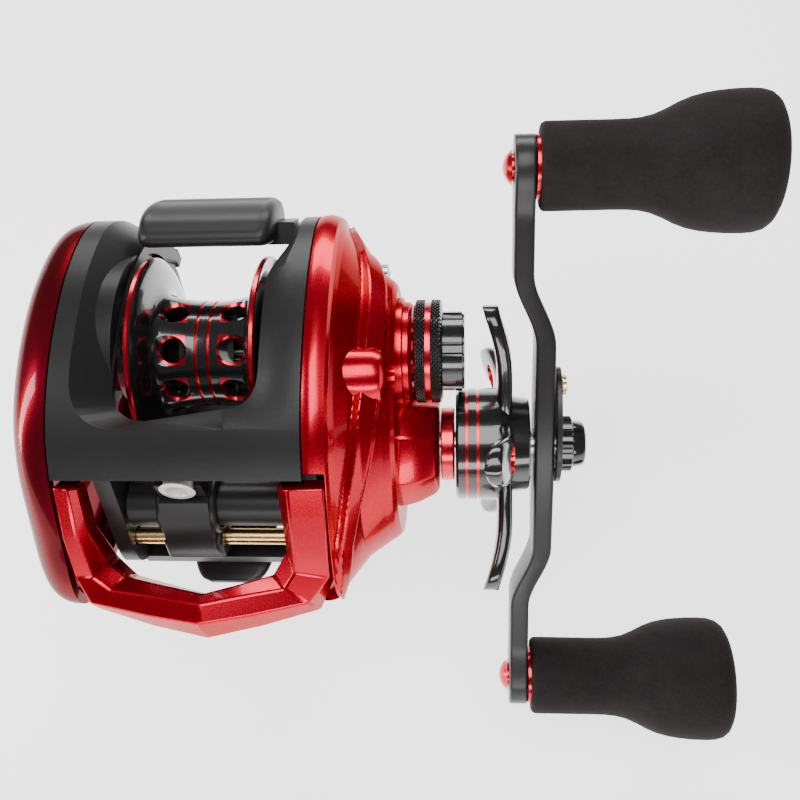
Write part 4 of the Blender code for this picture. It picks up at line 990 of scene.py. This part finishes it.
# ---------------------------------------------------------------- tension cap
# The black cast control cap on the spool axis: two bands of diamond knurling with a red groove
# between them, then a six-lobed nose.
def cap_piece():
    low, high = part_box("tension_cap")
    x = low.x / MM
    radius = (high.z - low.z) / 2 / MM
    end = x + 5.2
    nose = high.x / MM
    shape = bmesh.new()
    teeth = 64
    steps = teeth * 4

    def plain(at, size):
        return [shape.verts.new((at, size * math.cos(2 * math.pi * k / steps),
                                 size * math.sin(2 * math.pi * k / steps)))
                for k in range(steps)]
    rings = [plain(x, 5.9), plain(x, radius - 0.7), plain(x + 0.15, radius - 0.35)]
    rings += toothed_rings(shape, x + 0.4, x + 2.0, radius, 0.30, teeth, 12, 1 / 6)
    rings += [plain(x + 2.05, radius - 0.35), plain(x + 2.1, radius - 0.4),
              plain(x + 3.0, radius - 0.4), plain(x + 3.05, radius - 0.35)]
    rings += toothed_rings(shape, x + 3.1, x + 4.7, radius, 0.30, teeth, 12, 1 / 6)
    rings += [plain(x + 4.95, radius - 0.4), plain(end, radius - 0.9), plain(end, 7.0),
              plain(end - 0.6, 6.6), plain(end - 0.6, 5.9)]
    join_rings(shape, rings, close=True)
    cap = make_piece("tension_knob", shape, gloss_black, "cap", ["tension_cap"],
                     (0, *spool_axis), sharp=28.0)
    outline = []
    for k in range(144):
        angle = 2 * math.pi * k / 144
        wave = math.cos(6 * angle)
        size = 7.35 - 0.75 * fade((wave - 0.55) / 0.35)
        outline.append((size * math.cos(angle), size * math.sin(angle)))
    body = prism_shape(outline, end - 0.9, nose - end + 0.9)
    bmesh.ops.bevel(body, geom=[edge for edge in body.edges
                                if all(corner.co.x > nose - 0.01 for corner in edge.verts)],
                    offset=0.45, segments=3, affect="EDGES", clamp_overlap=True)
    work(cap, [guide(body, (0, *spool_axis))], "UNION")
    dimple = turned_shape([(nose - 0.5, 0), (nose - 0.5, 4.4), (nose - 0.3, 4.7), (nose + 1, 4.7),
                           (nose + 1, 0)], 64)
    work(cap, [guide(dimple, (0, *spool_axis))])
    paint(cap, red_anodised,
          lambda px, py, pz: x + 2.03 < px < x + 3.07
          and math.hypot(py - spool_axis[0], pz - spool_axis[1]) > radius - 1.0)


cap_piece()


# ---------------------------------------------------------------- shaft collar
# A plain red anodised ring on the crank shaft between the crank boss and the star.
def collar_piece():
    low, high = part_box("shaft_collar")
    x, end = low.x / MM, high.x / MM
    section = [(x, 5.3), (x, 6.7), (x + 0.25, 7.0), (end - 0.3, 7.0), (end, 6.7), (end, 2.9),
               (end - 1.0, 2.9), (end - 1.0, 5.3)]
    make_piece("crank_collar", turned_shape(section, 96), red_anodised, "crank",
               ["shaft_collar"], (0, *crank_axis), sharp=28.0)


collar_piece()


# ---------------------------------------------------------------- star drag wheel
# The drag star: a black drum with two red grooves, a collar up to the handle, and five arms
# that lean back to the body, each with an oval hole that has a red edge.
STAR_ARMS = 5
STAR_START = math.radians(47.3 + 78.0)
ARM_LINE = [(7.5, 5.0, -1.9), (10.0, 4.9, -1.9), (12.5, 4.45, -1.9), (15.0, 4.1, -1.95),
            (17.5, 3.95, -2.1), (20.0, 3.95, -2.5), (22.5, 3.9, -3.1), (24.5, 3.65, -3.7),
            (26.0, 2.9, -4.2), (27.0, 1.75, -4.5), (27.4, 0.7, -4.6)]


def sign(value):
    return -1.0 if value < 0 else 1.0


def star_piece():
    low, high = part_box("star_drag_wheel")
    x, end = low.x / MM, high.x / MM
    hub_end = x + 8.8
    hub = [(x, 6.4), (x, 10.1), (x + 0.5, 10.6), (x + 1.75, 10.6), (x + 1.8, 10.3),
           (x + 2.25, 10.3), (x + 2.3, 10.6), (x + 3.75, 10.6), (x + 3.8, 10.3), (x + 4.25, 10.3),
           (x + 4.3, 10.6), (hub_end - 0.6, 10.6), (hub_end, 10.2), (hub_end + 1.2, 9.3),
           (end - 0.3, 8.7), (end, 8.4), (end, 2.9), (hub_end - 2.0, 2.9), (hub_end - 2.0, 6.4)]
    star = make_piece("drag_star", turned_shape(hub, 120), gloss_black, "star",
                      ["star_drag_wheel"], (0, *crank_axis), sharp=28.0)
    arms, holes = [], []
    for index in range(STAR_ARMS):
        angle = 2 * math.pi * index / STAR_ARMS + STAR_START
        shape = bmesh.new()
        rings = []
        for radius, width, back in ARM_LINE:
            middle = hub_end + 1.2 + back + 0.9
            rings.append([shape.verts.new((middle + 1.45 * sign(math.sin(a)) * abs(math.sin(a)) ** 0.6,
                                           radius, width * sign(math.cos(a)) * abs(math.cos(a)) ** 0.5))
                          for a in [2 * math.pi * k / 28 for k in range(28)]])
        join_rings(shape, rings)
        shape.faces.new(rings[0])
        shape.faces.new(list(reversed(rings[-1])))
        arms.append(guide(shape, (0, *crank_axis), angle))
        for grow, near, far in ((0.0, -8.0, 6.0), (0.55, 0.85, 4.0), (0.55, -8.0, -1.95)):
            oval = [(19.2 + (3.1 + grow) * math.cos(2 * math.pi * k / 32),
                     (1.7 + grow) * math.sin(2 * math.pi * k / 32)) for k in range(32)]
            holes.append(guide(prism_shape(oval, hub_end + near, far - near), (0, *crank_axis),
                               angle))
    work(star, arms, "UNION")
    work(star, holes)

    def red(px, py, pz):
        y, z = py - crank_axis[0], pz - crank_axis[1]
        radius = math.hypot(y, z)
        if x + 1.7 < px < x + 4.35 and radius < 10.5:
            return radius > 10.0
        around = math.atan2(z, y) - STAR_START
        turn = (around + math.pi / STAR_ARMS) % (2 * math.pi / STAR_ARMS) - math.pi / STAR_ARMS
        along, across = radius * math.cos(turn) - 19.2, radius * math.sin(turn)
        return (along / 3.72) ** 2 + (across / 2.32) ** 2 < 1.0
    paint(star, red_anodised, red)


star_piece()


# ---------------------------------------------------------------- handle arm
# The cranked arm, pressed and milled from one flat bar: wide in the middle, both ends set back
# towards the body, all edges rounded. It is coated satin black.
handle_black = finish("handle_coating", (0.014, 0.0125, 0.0135), 0.36, 0.10, shine=0.30, coat=0.12,
                      coat_roughness=0.25, tint=0.25, grain=1500.0)
HANDLE_TURN = math.radians(47.3)
HANDLE_HALF = 51.0
HANDLE_END_R = 5.6
HANDLE_SET_BACK = 4.1


def arm_shift(reach):
    return -HANDLE_SET_BACK * fade((abs(reach) - 20.0) / 13.0)


def arm_half_width(reach):
    away = abs(reach)
    if away > HANDLE_HALF:
        return math.sqrt(max(HANDLE_END_R ** 2 - (away - HANDLE_HALF) ** 2, 0.0)) + 0.35
    half = 6.0 - 1.8 * fade(away / 30.0)
    if away > 42.0:
        half = 4.2 + 1.75 * fade((away - 42.0) / (HANDLE_HALF - 42.0))
    return half


def arm_piece():
    low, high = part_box("handle_arm")
    face = high.x / MM
    thick = min(face - HANDLE_SET_BACK - low.x / MM - 0.1, 3.7)
    start = face - thick
    tip = HANDLE_HALF + HANDLE_END_R
    reaches = [-tip + 0.05, -tip + 0.3, -tip + 0.8, -tip + 1.6, -tip + 2.6, -tip + 3.8]
    reaches += [-HANDLE_HALF + 1.0 * k for k in range(52)]
    reaches = reaches[:-1] + [0.0] + [-reach for reach in reversed(reaches[:-1])]
    shape = bmesh.new()
    rings = []
    for reach in reaches:
        half = arm_half_width(reach)
        x = start + arm_shift(reach)
        corner = 0.55
        section = []
        for cx, cw, first in ((corner, half - corner, 180), (thick - corner, half - corner, 90),
                              (thick - corner, -half + corner, 0), (corner, -half + corner, 270)):
            for step in range(4):
                angle = math.radians(first - 90 * step / 3)
                section.append((x + cx + corner * math.cos(angle), cw + corner * math.sin(angle)))
        rings.append([shape.verts.new((px, reach, wide)) for px, wide in section])
    join_rings(shape, rings)
    shape.faces.new(rings[0])
    shape.faces.new(list(reversed(rings[-1])))
    arm = make_piece("crank_arm", shape, handle_black, "crank", ["handle_arm"],
                     (0, *crank_axis), HANDLE_TURN, sharp=50.0)
    cuts = [guide(turned_shape([(start - 3, 0), (start - 3, 2.9), (face + 3, 2.9), (face + 3, 0)],
                               48), (0, *crank_axis), 0.03)]
    for side in (-1, 1):
        cuts.append(guide(prism_shape(circle(2.7, (side * HANDLE_HALF, 0)), start - 8, 16),
                          (0, *crank_axis), HANDLE_TURN))
    cuts.append(guide(prism_shape(circle(1.2, (11.6, 0), 24), start + 0.6, 9),
                      (0, *crank_axis), HANDLE_TURN))
    work(arm, cuts)


arm_piece()


# ---------------------------------------------------------------- handle nut and its retainer
# The black nut that clamps the arm: a splined wrench part and a plain rounded cap. A thin black
# plate with one brass screw keeps it from turning.
def nut_piece():
    low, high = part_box("handle_nut")
    x, end = low.x / MM, high.x / MM
    radius = (high.z - low.z) / 2 / MM
    shape = bmesh.new()
    teeth = 24
    steps = teeth * 4

    def plain(at, size):
        return [shape.verts.new((at, size * math.cos(2 * math.pi * k / steps),
                                 size * math.sin(2 * math.pi * k / steps)))
                for k in range(steps)]
    spline = toothed_rings(shape, x + 0.5, x + 3.1, radius, 0.42, teeth, 4)
    rings = [plain(x, 2.9), plain(x, radius - 0.4)] + spline
    rings += [plain(x + 3.3, radius - 0.5), plain(x + 3.35, radius - 0.7),
              plain(end - 1.0, radius - 0.9), plain(end - 0.4, radius - 1.3),
              plain(end - 0.1, radius - 2.0), plain(end, radius - 2.8),
              [shape.verts.new((end, 0, 0))]]
    join_rings(shape, rings)
    inside = [rings[0], plain(x + 2.5, 2.9), [shape.verts.new((x + 2.5, 0, 0))]]
    join_rings(shape, inside)
    make_piece("crank_nut", shape, gloss_black, "crank", ["handle_nut"],
               (0, *crank_axis), sharp=28.0)


def retainer_piece():
    low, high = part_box("nut_retainer")
    x, end = low.x / MM, high.x / MM
    outline = []
    for step in range(96):
        angle = 2 * math.pi * step / 96
        reach = 15.0 if math.cos(angle) > 0 else 7.2
        outline.append((reach * math.cos(angle), 7.2 * math.sin(angle)))
    plate = prism_shape(outline, x, end - x, [circle(5.5), circle(1.2, (11.6, 0), 24)])
    make_piece("retainer_plate", plate, handle_black, "crank",
               ["nut_retainer"], (0, *crank_axis), HANDLE_TURN, sharp=28.0, soften=0.15)


def screw_shape(under, top, head_r, shank_r, tail, slots=16, drive_r=0.9):
    """A screw along +X: a finely milled head with a hexagonal recess, and a plain shank."""
    shape = bmesh.new()
    steps = slots * 4
    deep = min(0.6, (top - under) * 0.6)

    def plain(at, size):
        return [shape.verts.new((at, size * math.cos(2 * math.pi * k / steps),
                                 size * math.sin(2 * math.pi * k / steps)))
                for k in range(steps)]

    def six(at, size):
        return [shape.verts.new((at, size * math.cos(2 * math.pi * k / steps)
                                 / max(math.cos((2 * math.pi * k / steps) % (math.pi / 3)
                                                - math.pi / 6), 0.5) * 0.87,
                                 size * math.sin(2 * math.pi * k / steps)
                                 / max(math.cos((2 * math.pi * k / steps) % (math.pi / 3)
                                                - math.pi / 6), 0.5) * 0.87))
                for k in range(steps)]
    rings = [[shape.verts.new((tail, 0, 0))], plain(tail, shank_r - 0.15),
             plain(tail + 0.2, shank_r), plain(under, shank_r), plain(under, head_r - 0.1)]
    rings += toothed_rings(shape, under + 0.1, top - 0.25, head_r, 0.12, slots, 2)
    rings += [plain(top - 0.05, head_r - 0.3), plain(top, head_r - 0.45), six(top, drive_r),
              six(top - deep, drive_r), [shape.verts.new((top - deep, 0, 0))]]
    join_rings(shape, rings)
    return shape


def retainer_screw_piece():
    low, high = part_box("retainer_screw")
    spot = ((low.y + high.y) / 2 / MM, (low.z + high.z) / 2 / MM)
    top = high.x / MM
    make_piece("brass_screw", screw_shape(top - 0.9, top, 1.8, 0.9, low.x / MM), brass,
               "crank", ["retainer_screw"], (0, *spot), sharp=28.0)


nut_piece()
retainer_piece()
retainer_screw_piece()


# ---------------------------------------------------------------- knobs
# Closed-cell foam power knobs, turned round and left matte, with visible cells; each runs on a
# red anodised flanged bushing over a post that is riveted through the arm.
def foam_material():
    material = bpy.data.materials.new("knob_foam")
    material.use_nodes = True
    tree = material.node_tree
    nodes, links = tree.nodes, tree.links
    shader = nodes["Principled BSDF"]
    shader.inputs["Roughness"].default_value = 0.92
    shader.inputs["Specular IOR Level"].default_value = 0.2
    place = nodes.new("ShaderNodeTexCoord")
    cells = nodes.new("ShaderNodeTexVoronoi")
    cells.inputs["Scale"].default_value = 1500.0
    cloud = nodes.new("ShaderNodeTexNoise")
    cloud.inputs["Scale"].default_value = 240.0
    cloud.inputs["Detail"].default_value = 5.0
    shade = nodes.new("ShaderNodeValToRGB")
    shade.color_ramp.elements[0].color = (0.005, 0.0038, 0.004, 1)
    shade.color_ramp.elements[1].color = (0.016, 0.012, 0.0125, 1)
    mixed = nodes.new("ShaderNodeMath")
    mixed.operation = "MULTIPLY_ADD"
    mixed.inputs[1].default_value = 0.5
    for texture in (cells, cloud):
        links.new(place.outputs["Object"], texture.inputs["Vector"])
    links.new(cells.outputs["Distance"], mixed.inputs[0])
    links.new(cloud.outputs["Fac"], mixed.inputs[2])
    links.new(mixed.outputs[0], shade.inputs["Fac"])
    links.new(shade.outputs["Color"], shader.inputs["Base Color"])
    bumps = nodes.new("ShaderNodeBump")
    bumps.inputs["Distance"].default_value = 0.00009
    bumps.inputs["Strength"].default_value = 0.7
    links.new(mixed.outputs[0], bumps.inputs["Height"])
    links.new(bumps.outputs["Normal"], shader.inputs["Normal"])
    return material


foam = foam_material()
KNOB_SHAPE = [(0.0, 4.2), (0.0, 6.9), (0.2, 7.3), (0.7, 7.6), (2.0, 7.62), (8.0, 7.6),
              (12.0, 7.58), (14.5, 7.62), (16.5, 7.8), (18.5, 8.25), (20.5, 9.1), (22.5, 10.15),
              (24.5, 10.95), (26.5, 11.45), (28.5, 11.75), (31.0, 11.95), (33.5, 12.0),
              (35.2, 11.9), (36.6, 11.5), (37.5, 10.8), (38.0, 9.9), (38.25, 8.6), (38.3, 7.0),
              (38.3, 3.5), (38.3, 0)]


def knob_pieces(place):
    low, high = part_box("knob_" + place)
    centre = (0, (low.y + high.y) / 2 / MM, (low.z + high.z) / 2 / MM)
    x, end = low.x / MM, high.x / MM
    long = (end - x) / 38.3
    section = [(x + at * long, radius) for at, radius in KNOB_SHAPE]
    section += [(end - 5.0, 0), (end - 5.0, 4.2)]
    shape = bmesh.new()
    steps = 128
    rings = []
    for at, radius in section[:-2]:
        if radius == 0:
            rings.append([shape.verts.new((at, 0, 0))])
            continue
        rings.append([shape.verts.new((at, radius * math.cos(2 * math.pi * k / steps),
                                       radius * math.sin(2 * math.pi * k / steps)))
                      for k in range(steps)])
    join_rings(shape, rings)
    bore = [rings[0]]
    bore.append([shape.verts.new((end - 5.0, 4.2 * math.cos(2 * math.pi * k / steps),
                                  4.2 * math.sin(2 * math.pi * k / steps)))
                 for k in range(steps)])
    bore.append([shape.verts.new((end - 5.0, 0, 0))])
    join_rings(shape, bore)
    make_piece("knob_foam_" + place, shape, foam, place + "_knob", ["knob_" + place],
               centre, sharp=40.0)
    low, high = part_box("knob_bushing_" + place)
    start, inner = low.x / MM, high.x / MM
    bush = [(start, 2.7), (start, 5.3), (start + 0.25, 5.6), (start + 0.9, 5.6),
            (start + 1.15, 5.25), (x - 0.75, 5.25), (x - 0.6, 5.6), (x - 0.3, 5.6), (x - 0.3, 3.9),
            (inner, 3.9), (inner, 2.7)]
    make_piece("knob_sleeve_" + place, turned_shape(bush, 72), red_anodised, place + "_knob",
               ["knob_bushing_" + place], centre, sharp=28.0)
    low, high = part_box("knob_post_" + place)
    back = low.x / MM
    post = [(back, 0), (back + 0.05, 0.7), (back + 0.25, 1.4), (back + 0.6, 2.1),
            (back + 1.05, 2.65), (back + 1.45, 3.0), (back + 1.6, 3.2), (back + 1.6, 2.4),
            (high.x / MM, 2.4), (high.x / MM, 0)]
    make_piece("knob_rivet_" + place, turned_shape(post, 64), red_anodised, "crank",
               ["knob_post_" + place], centre, sharp=28.0)


knob_pieces("upper")
knob_pieces("lower")


# ---------------------------------------------------------------- line guide and its rod
# The carriage that lays the line: a black block with a hexagonal collar round the brass rod, a
# barrel round the worm shield and an upright arm for the ceramic eye; a cap closes the pawl.
def line_guide_pieces():
    low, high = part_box("line_guide")
    x, end = low.x / MM, high.x / MM
    middle = (x + end) / 2
    outline = [(-35.4, 17.0), (-35.4, 12.4), (-33.4, 10.8), (-25.8, 10.8), (-23.3, 15.2),
               (-23.3, 24.0), (-26.0, 26.0), (-30.6, 26.0), (-33.2, 22.8)]
    block = make_piece("guide_block", prism_shape(outline, x + 0.9, end - x - 1.8), satin_black,
                       "line_guide_group", ["line_guide"], sharp=28.0, soften=0.3)
    hexagon = turned_shape([(x, 0), (x, 3.5), (x + 0.4, 3.9), (end - 0.4, 3.9), (end, 3.5),
                            (end, 0)], 6)
    barrel = turned_shape([(x, 0), (x, 5.0), (x + 0.4, 5.4), (end - 0.4, 5.4), (end, 5.0),
                           (end, 0)], 64)
    arm = prism_shape([(-29.4, 24.0), (-29.4, 33.0), (-26.6, 33.0), (-26.6, 24.0)], middle - 4.1,
                      8.2)
    bmesh.ops.bevel(arm, geom=[edge for edge in arm.edges if abs((edge.verts[0].co
                    - edge.verts[1].co).normalized().y) > 0.9], offset=2.4, segments=6,
                    affect="EDGES", clamp_overlap=True)
    work(block, [guide(hexagon, (0, *rod_axis), math.radians(15.0)),
                 guide(barrel, (0, *worm_axis), 0.02), guide(arm)], "UNION")
    eye_hole = turned_shape([(-6, 0), (-6, 2.9), (6, 2.9), (6, 0)], 48)
    eye_hole.transform(Matrix.Translation((middle, -28.0, 29.9))
                       @ Matrix.Rotation(math.pi / 2, 4, "Z"))
    pawl = turned_shape([(8, 0), (8, 1.3), (18, 1.3), (18, 0)], 32)
    pawl.transform(Matrix.Translation((middle, worm_axis[0], 0))
                   @ Matrix.Rotation(-math.pi / 2, 4, "Y"))
    work(block, [guide(turned_shape([(x - 1, 0), (x - 1, 4.3), (end + 1, 4.3), (end + 1, 0)], 64),
                       (0, *worm_axis), 0.03),
                 guide(turned_shape([(x - 1, 0), (x - 1, 1.8), (end + 1, 1.8), (end + 1, 0)], 48),
                       (0, *rod_axis), 0.03), guide(eye_hole), guide(pawl)])
    ring = turned_shape([(-2.2, 1.9), (-2.2, 2.9), (-2.05, 3.1), (-1.95, 3.0), (-1.9, 2.6),
                         (1.4, 2.6), (1.4, 1.95), (0.9, 1.75), (-0.4, 1.6), (-1.6, 1.7)], 72)
    ring.transform(Matrix.Translation((0, -28.0, 0)) @ Matrix.Rotation(math.pi / 2, 4, "Z"))
    make_piece("guide_ring", ring, ceramic, "line_guide_group", ["guide_eyelet"],
               (middle, 0, 29.9), sharp=40.0)
    cap_low, cap_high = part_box("pawl_cap")
    z, top = cap_low.z / MM, cap_high.z / MM
    lid = turned_shape([(z, 0), (z, 1.9), (z + 0.3, 2.3), (z + 0.5, 2.4), (top, 2.4), (top, 0)],
                       12)
    lid.transform(Matrix.Rotation(-math.pi / 2, 4, "Y"))
    make_piece("pawl_screw", lid, satin_black, "line_guide_group", ["pawl_cap"],
               (middle, worm_axis[0], 0), sharp=28.0)


ceramic = finish("polished_ceramic", (0.70, 0.69, 0.65), 0.12, 0.0, coat=0.6, tint=0.06)
line_guide_pieces()


def rod_piece(node, name, body, material, radius, axis, tip=0.3):
    low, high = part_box(node)
    x, end = low.x / MM, high.x / MM
    section = [(x, 0), (x, radius - tip), (x + tip, radius), (end - tip, radius),
               (end, radius - tip), (end, 0)]
    make_piece(name, turned_shape(section, 64), material, body, [node], (0, *axis),
               sharp=28.0)


rod_piece("guide_rod", "guide_bar", "body", brass, 1.5, rod_axis)


# ---------------------------------------------------------------- worm shield and worm
# A thin black tube, open below, that keeps the line off the worm; inside it a steel worm with
# crossed grooves drives the guide's pawl.
def shield_piece():
    low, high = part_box("worm_shield")
    x, end = low.x / MM, high.x / MM
    section = [(x, 3.2), (x, 3.9), (x + 0.1, 4.0), (end - 0.1, 4.0), (end, 3.9), (end, 3.2)]
    tube = make_piece("worm_cover", turned_shape(section, 72), satin_black, "body",
                      ["worm_shield"], (0, *worm_axis), 0.02, sharp=28.0)
    slot = block_shape((x + 1.6, -1.5, -6), (end - 1.6, 1.5, -2))
    work(tube, [guide(slot, (0, *worm_axis))])


def worm_piece():
    low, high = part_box("worm_shaft")
    x, end = low.x / MM, high.x / MM
    radius = (high.z - low.z) / 2 / MM
    start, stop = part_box("worm_shield")[0].x / MM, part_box("worm_shield")[1].x / MM
    shape = bmesh.new()
    steps = 72

    def ring(at, cut):
        made = []
        for k in range(steps):
            angle = 2 * math.pi * k / steps
            size = radius
            if cut:
                for way in (-1, 1):
                    phase = ((at - start) / 5.2 + way * angle / (2 * math.pi)) % 1.0
                    size = min(size, radius - 0.7 * fade((0.16 - abs(phase - 0.5)) / 0.08))
            made.append(shape.verts.new((at, size * math.cos(angle), size * math.sin(angle))))
        return made

    def plain(at, size):
        return [shape.verts.new((at, size * math.cos(2 * math.pi * k / steps),
                                 size * math.sin(2 * math.pi * k / steps)))
                for k in range(steps)]
    rings = [[shape.verts.new((x, 0, 0))], plain(x, 1.0), plain(x + 0.2, 1.2), plain(start, 1.2)]
    rings.append(ring(start, False))
    rings += [ring(start + (stop - start) * k / 110, 4 < k < 106) for k in range(1, 110)]
    rings.append(ring(stop, False))
    rings += [plain(stop, 1.2), plain(end - 0.2, 1.2), plain(end, 1.0),
              [shape.verts.new((end, 0, 0))]]
    join_rings(shape, rings)
    make_piece("worm_screw", shape, steel, "worm", ["worm_shaft"],
               (0, *worm_axis), sharp=40.0)


shield_piece()
worm_piece()


# ---------------------------------------------------------------- foot and screws
# The saddle plate for the rod's reel seat, with tapered ends, held by two screws from below;
# three cylinder-headed steel screws hold the gear cover.
def foot_piece():
    low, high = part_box("reel_foot")
    thick = high.z / MM
    half = (high.x - low.x) / 2 / MM
    start, end = low.y / MM, high.y / MM
    shape = bmesh.new()
    rings = []
    for step in range(81):
        y = start + (end - start) * step / 80
        away = min(y - start, end - y)
        share = 0.5 + 0.5 * math.sqrt(max(1 - (1 - min(away / 7.0, 1.0)) ** 2, 0.0))
        tall = 1.1 + (thick - 1.1) * fade((away - 1.0) / 12.0)
        wide = half * share
        rings.append([shape.verts.new((wide * px, y, max(tall * pz, 0.0))) for px, pz in
                      ((-1.0, 0.12), (-0.97, 0.0), (0.97, 0.0), (1.0, 0.12), (1.0, 0.5),
                       (0.95, 0.72), (0.82, 0.94), (0.72, 1.0), (-0.72, 1.0), (-0.82, 0.94),
                       (-0.95, 0.72), (-1.0, 0.5))])
    join_rings(shape, rings)
    shape.faces.new(rings[0])
    shape.faces.new(list(reversed(rings[-1])))
    foot = make_piece("seat_foot", shape, satin_black, "body", ["reel_foot"],
                      sharp=40.0)
    cuts = []
    for node in ("front_foot_screw", "rear_foot_screw"):
        low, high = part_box(node)
        hole = turned_shape([(-1.0, 0), (-1.0, 2.6), (1.6, 2.6), (1.6, 1.5), (5.0, 1.5), (5.0, 0)],
                            40)
        hole.transform(Matrix.Translation((0, (low.y + high.y) / 2 / MM, 0))
                       @ Matrix.Rotation(-math.pi / 2, 4, "Y"))
        cuts.append(guide(hole))
        bolt = screw_shape(-1.3, -low.z / MM, 2.3, 1.2, -high.z / MM, drive_r=1.2)
        bolt.transform(Matrix.Translation((0, (low.y + high.y) / 2 / MM, 0))
                       @ Matrix.Rotation(math.pi / 2, 4, "Y"))
        make_piece(node + "_cross", bolt, steel, "body", [node], sharp=28.0)
    work(foot, cuts)


foot_piece()
for index in (1, 2, 3):
    low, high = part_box("plate_screw_%d" % index)
    spot = ((low.y + high.y) / 2 / MM, (low.z + high.z) / 2 / MM)
    top = high.x / MM
    make_piece("cover_screw_%d" % index, screw_shape(top - 2.0, top, 2.0, 1.1, low.x / MM), steel,
               "body", ["plate_screw_%d" % index], (0, *spot), sharp=28.0)


# ---------------------------------------------------------------- parts inside the covers
# Gears, bearings, shafts, clutch and brake parts stay plain; each takes its metal or plastic.
carbon = finish("drag_fibre", (0.035, 0.035, 0.038), 0.6, 0.0, tint=0.6, grain=1400.0)
INSIDE = {
    steel: ["clutch_slider", "clutch_yoke", "yoke_post_front", "yoke_post_rear", "spool_shaft",
            "spool_bearing_left", "spool_bearing_right", "pinion_bearing", "pressure_plate",
            "drive_shaft", "drive_shaft_bearing", "one_way_bearing", "roller_sleeve",
            "drag_spring_washer", "levelwind_pawl"],
    brass: ["pinion_gear", "drive_gear", "drag_nut", "worm_bush_left", "worm_bush_right"],
    aluminium: ["brake_rotor"],
    black_plastic: ["magnet_holder", "levelwind_drive_gear", "worm_gear", "tension_shim"],
    carbon: ["drag_washer"]}
for metal, nodes in INSIDE.items():
    for node in nodes:
        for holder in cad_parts[node].material_slots:
            holder.material = metal
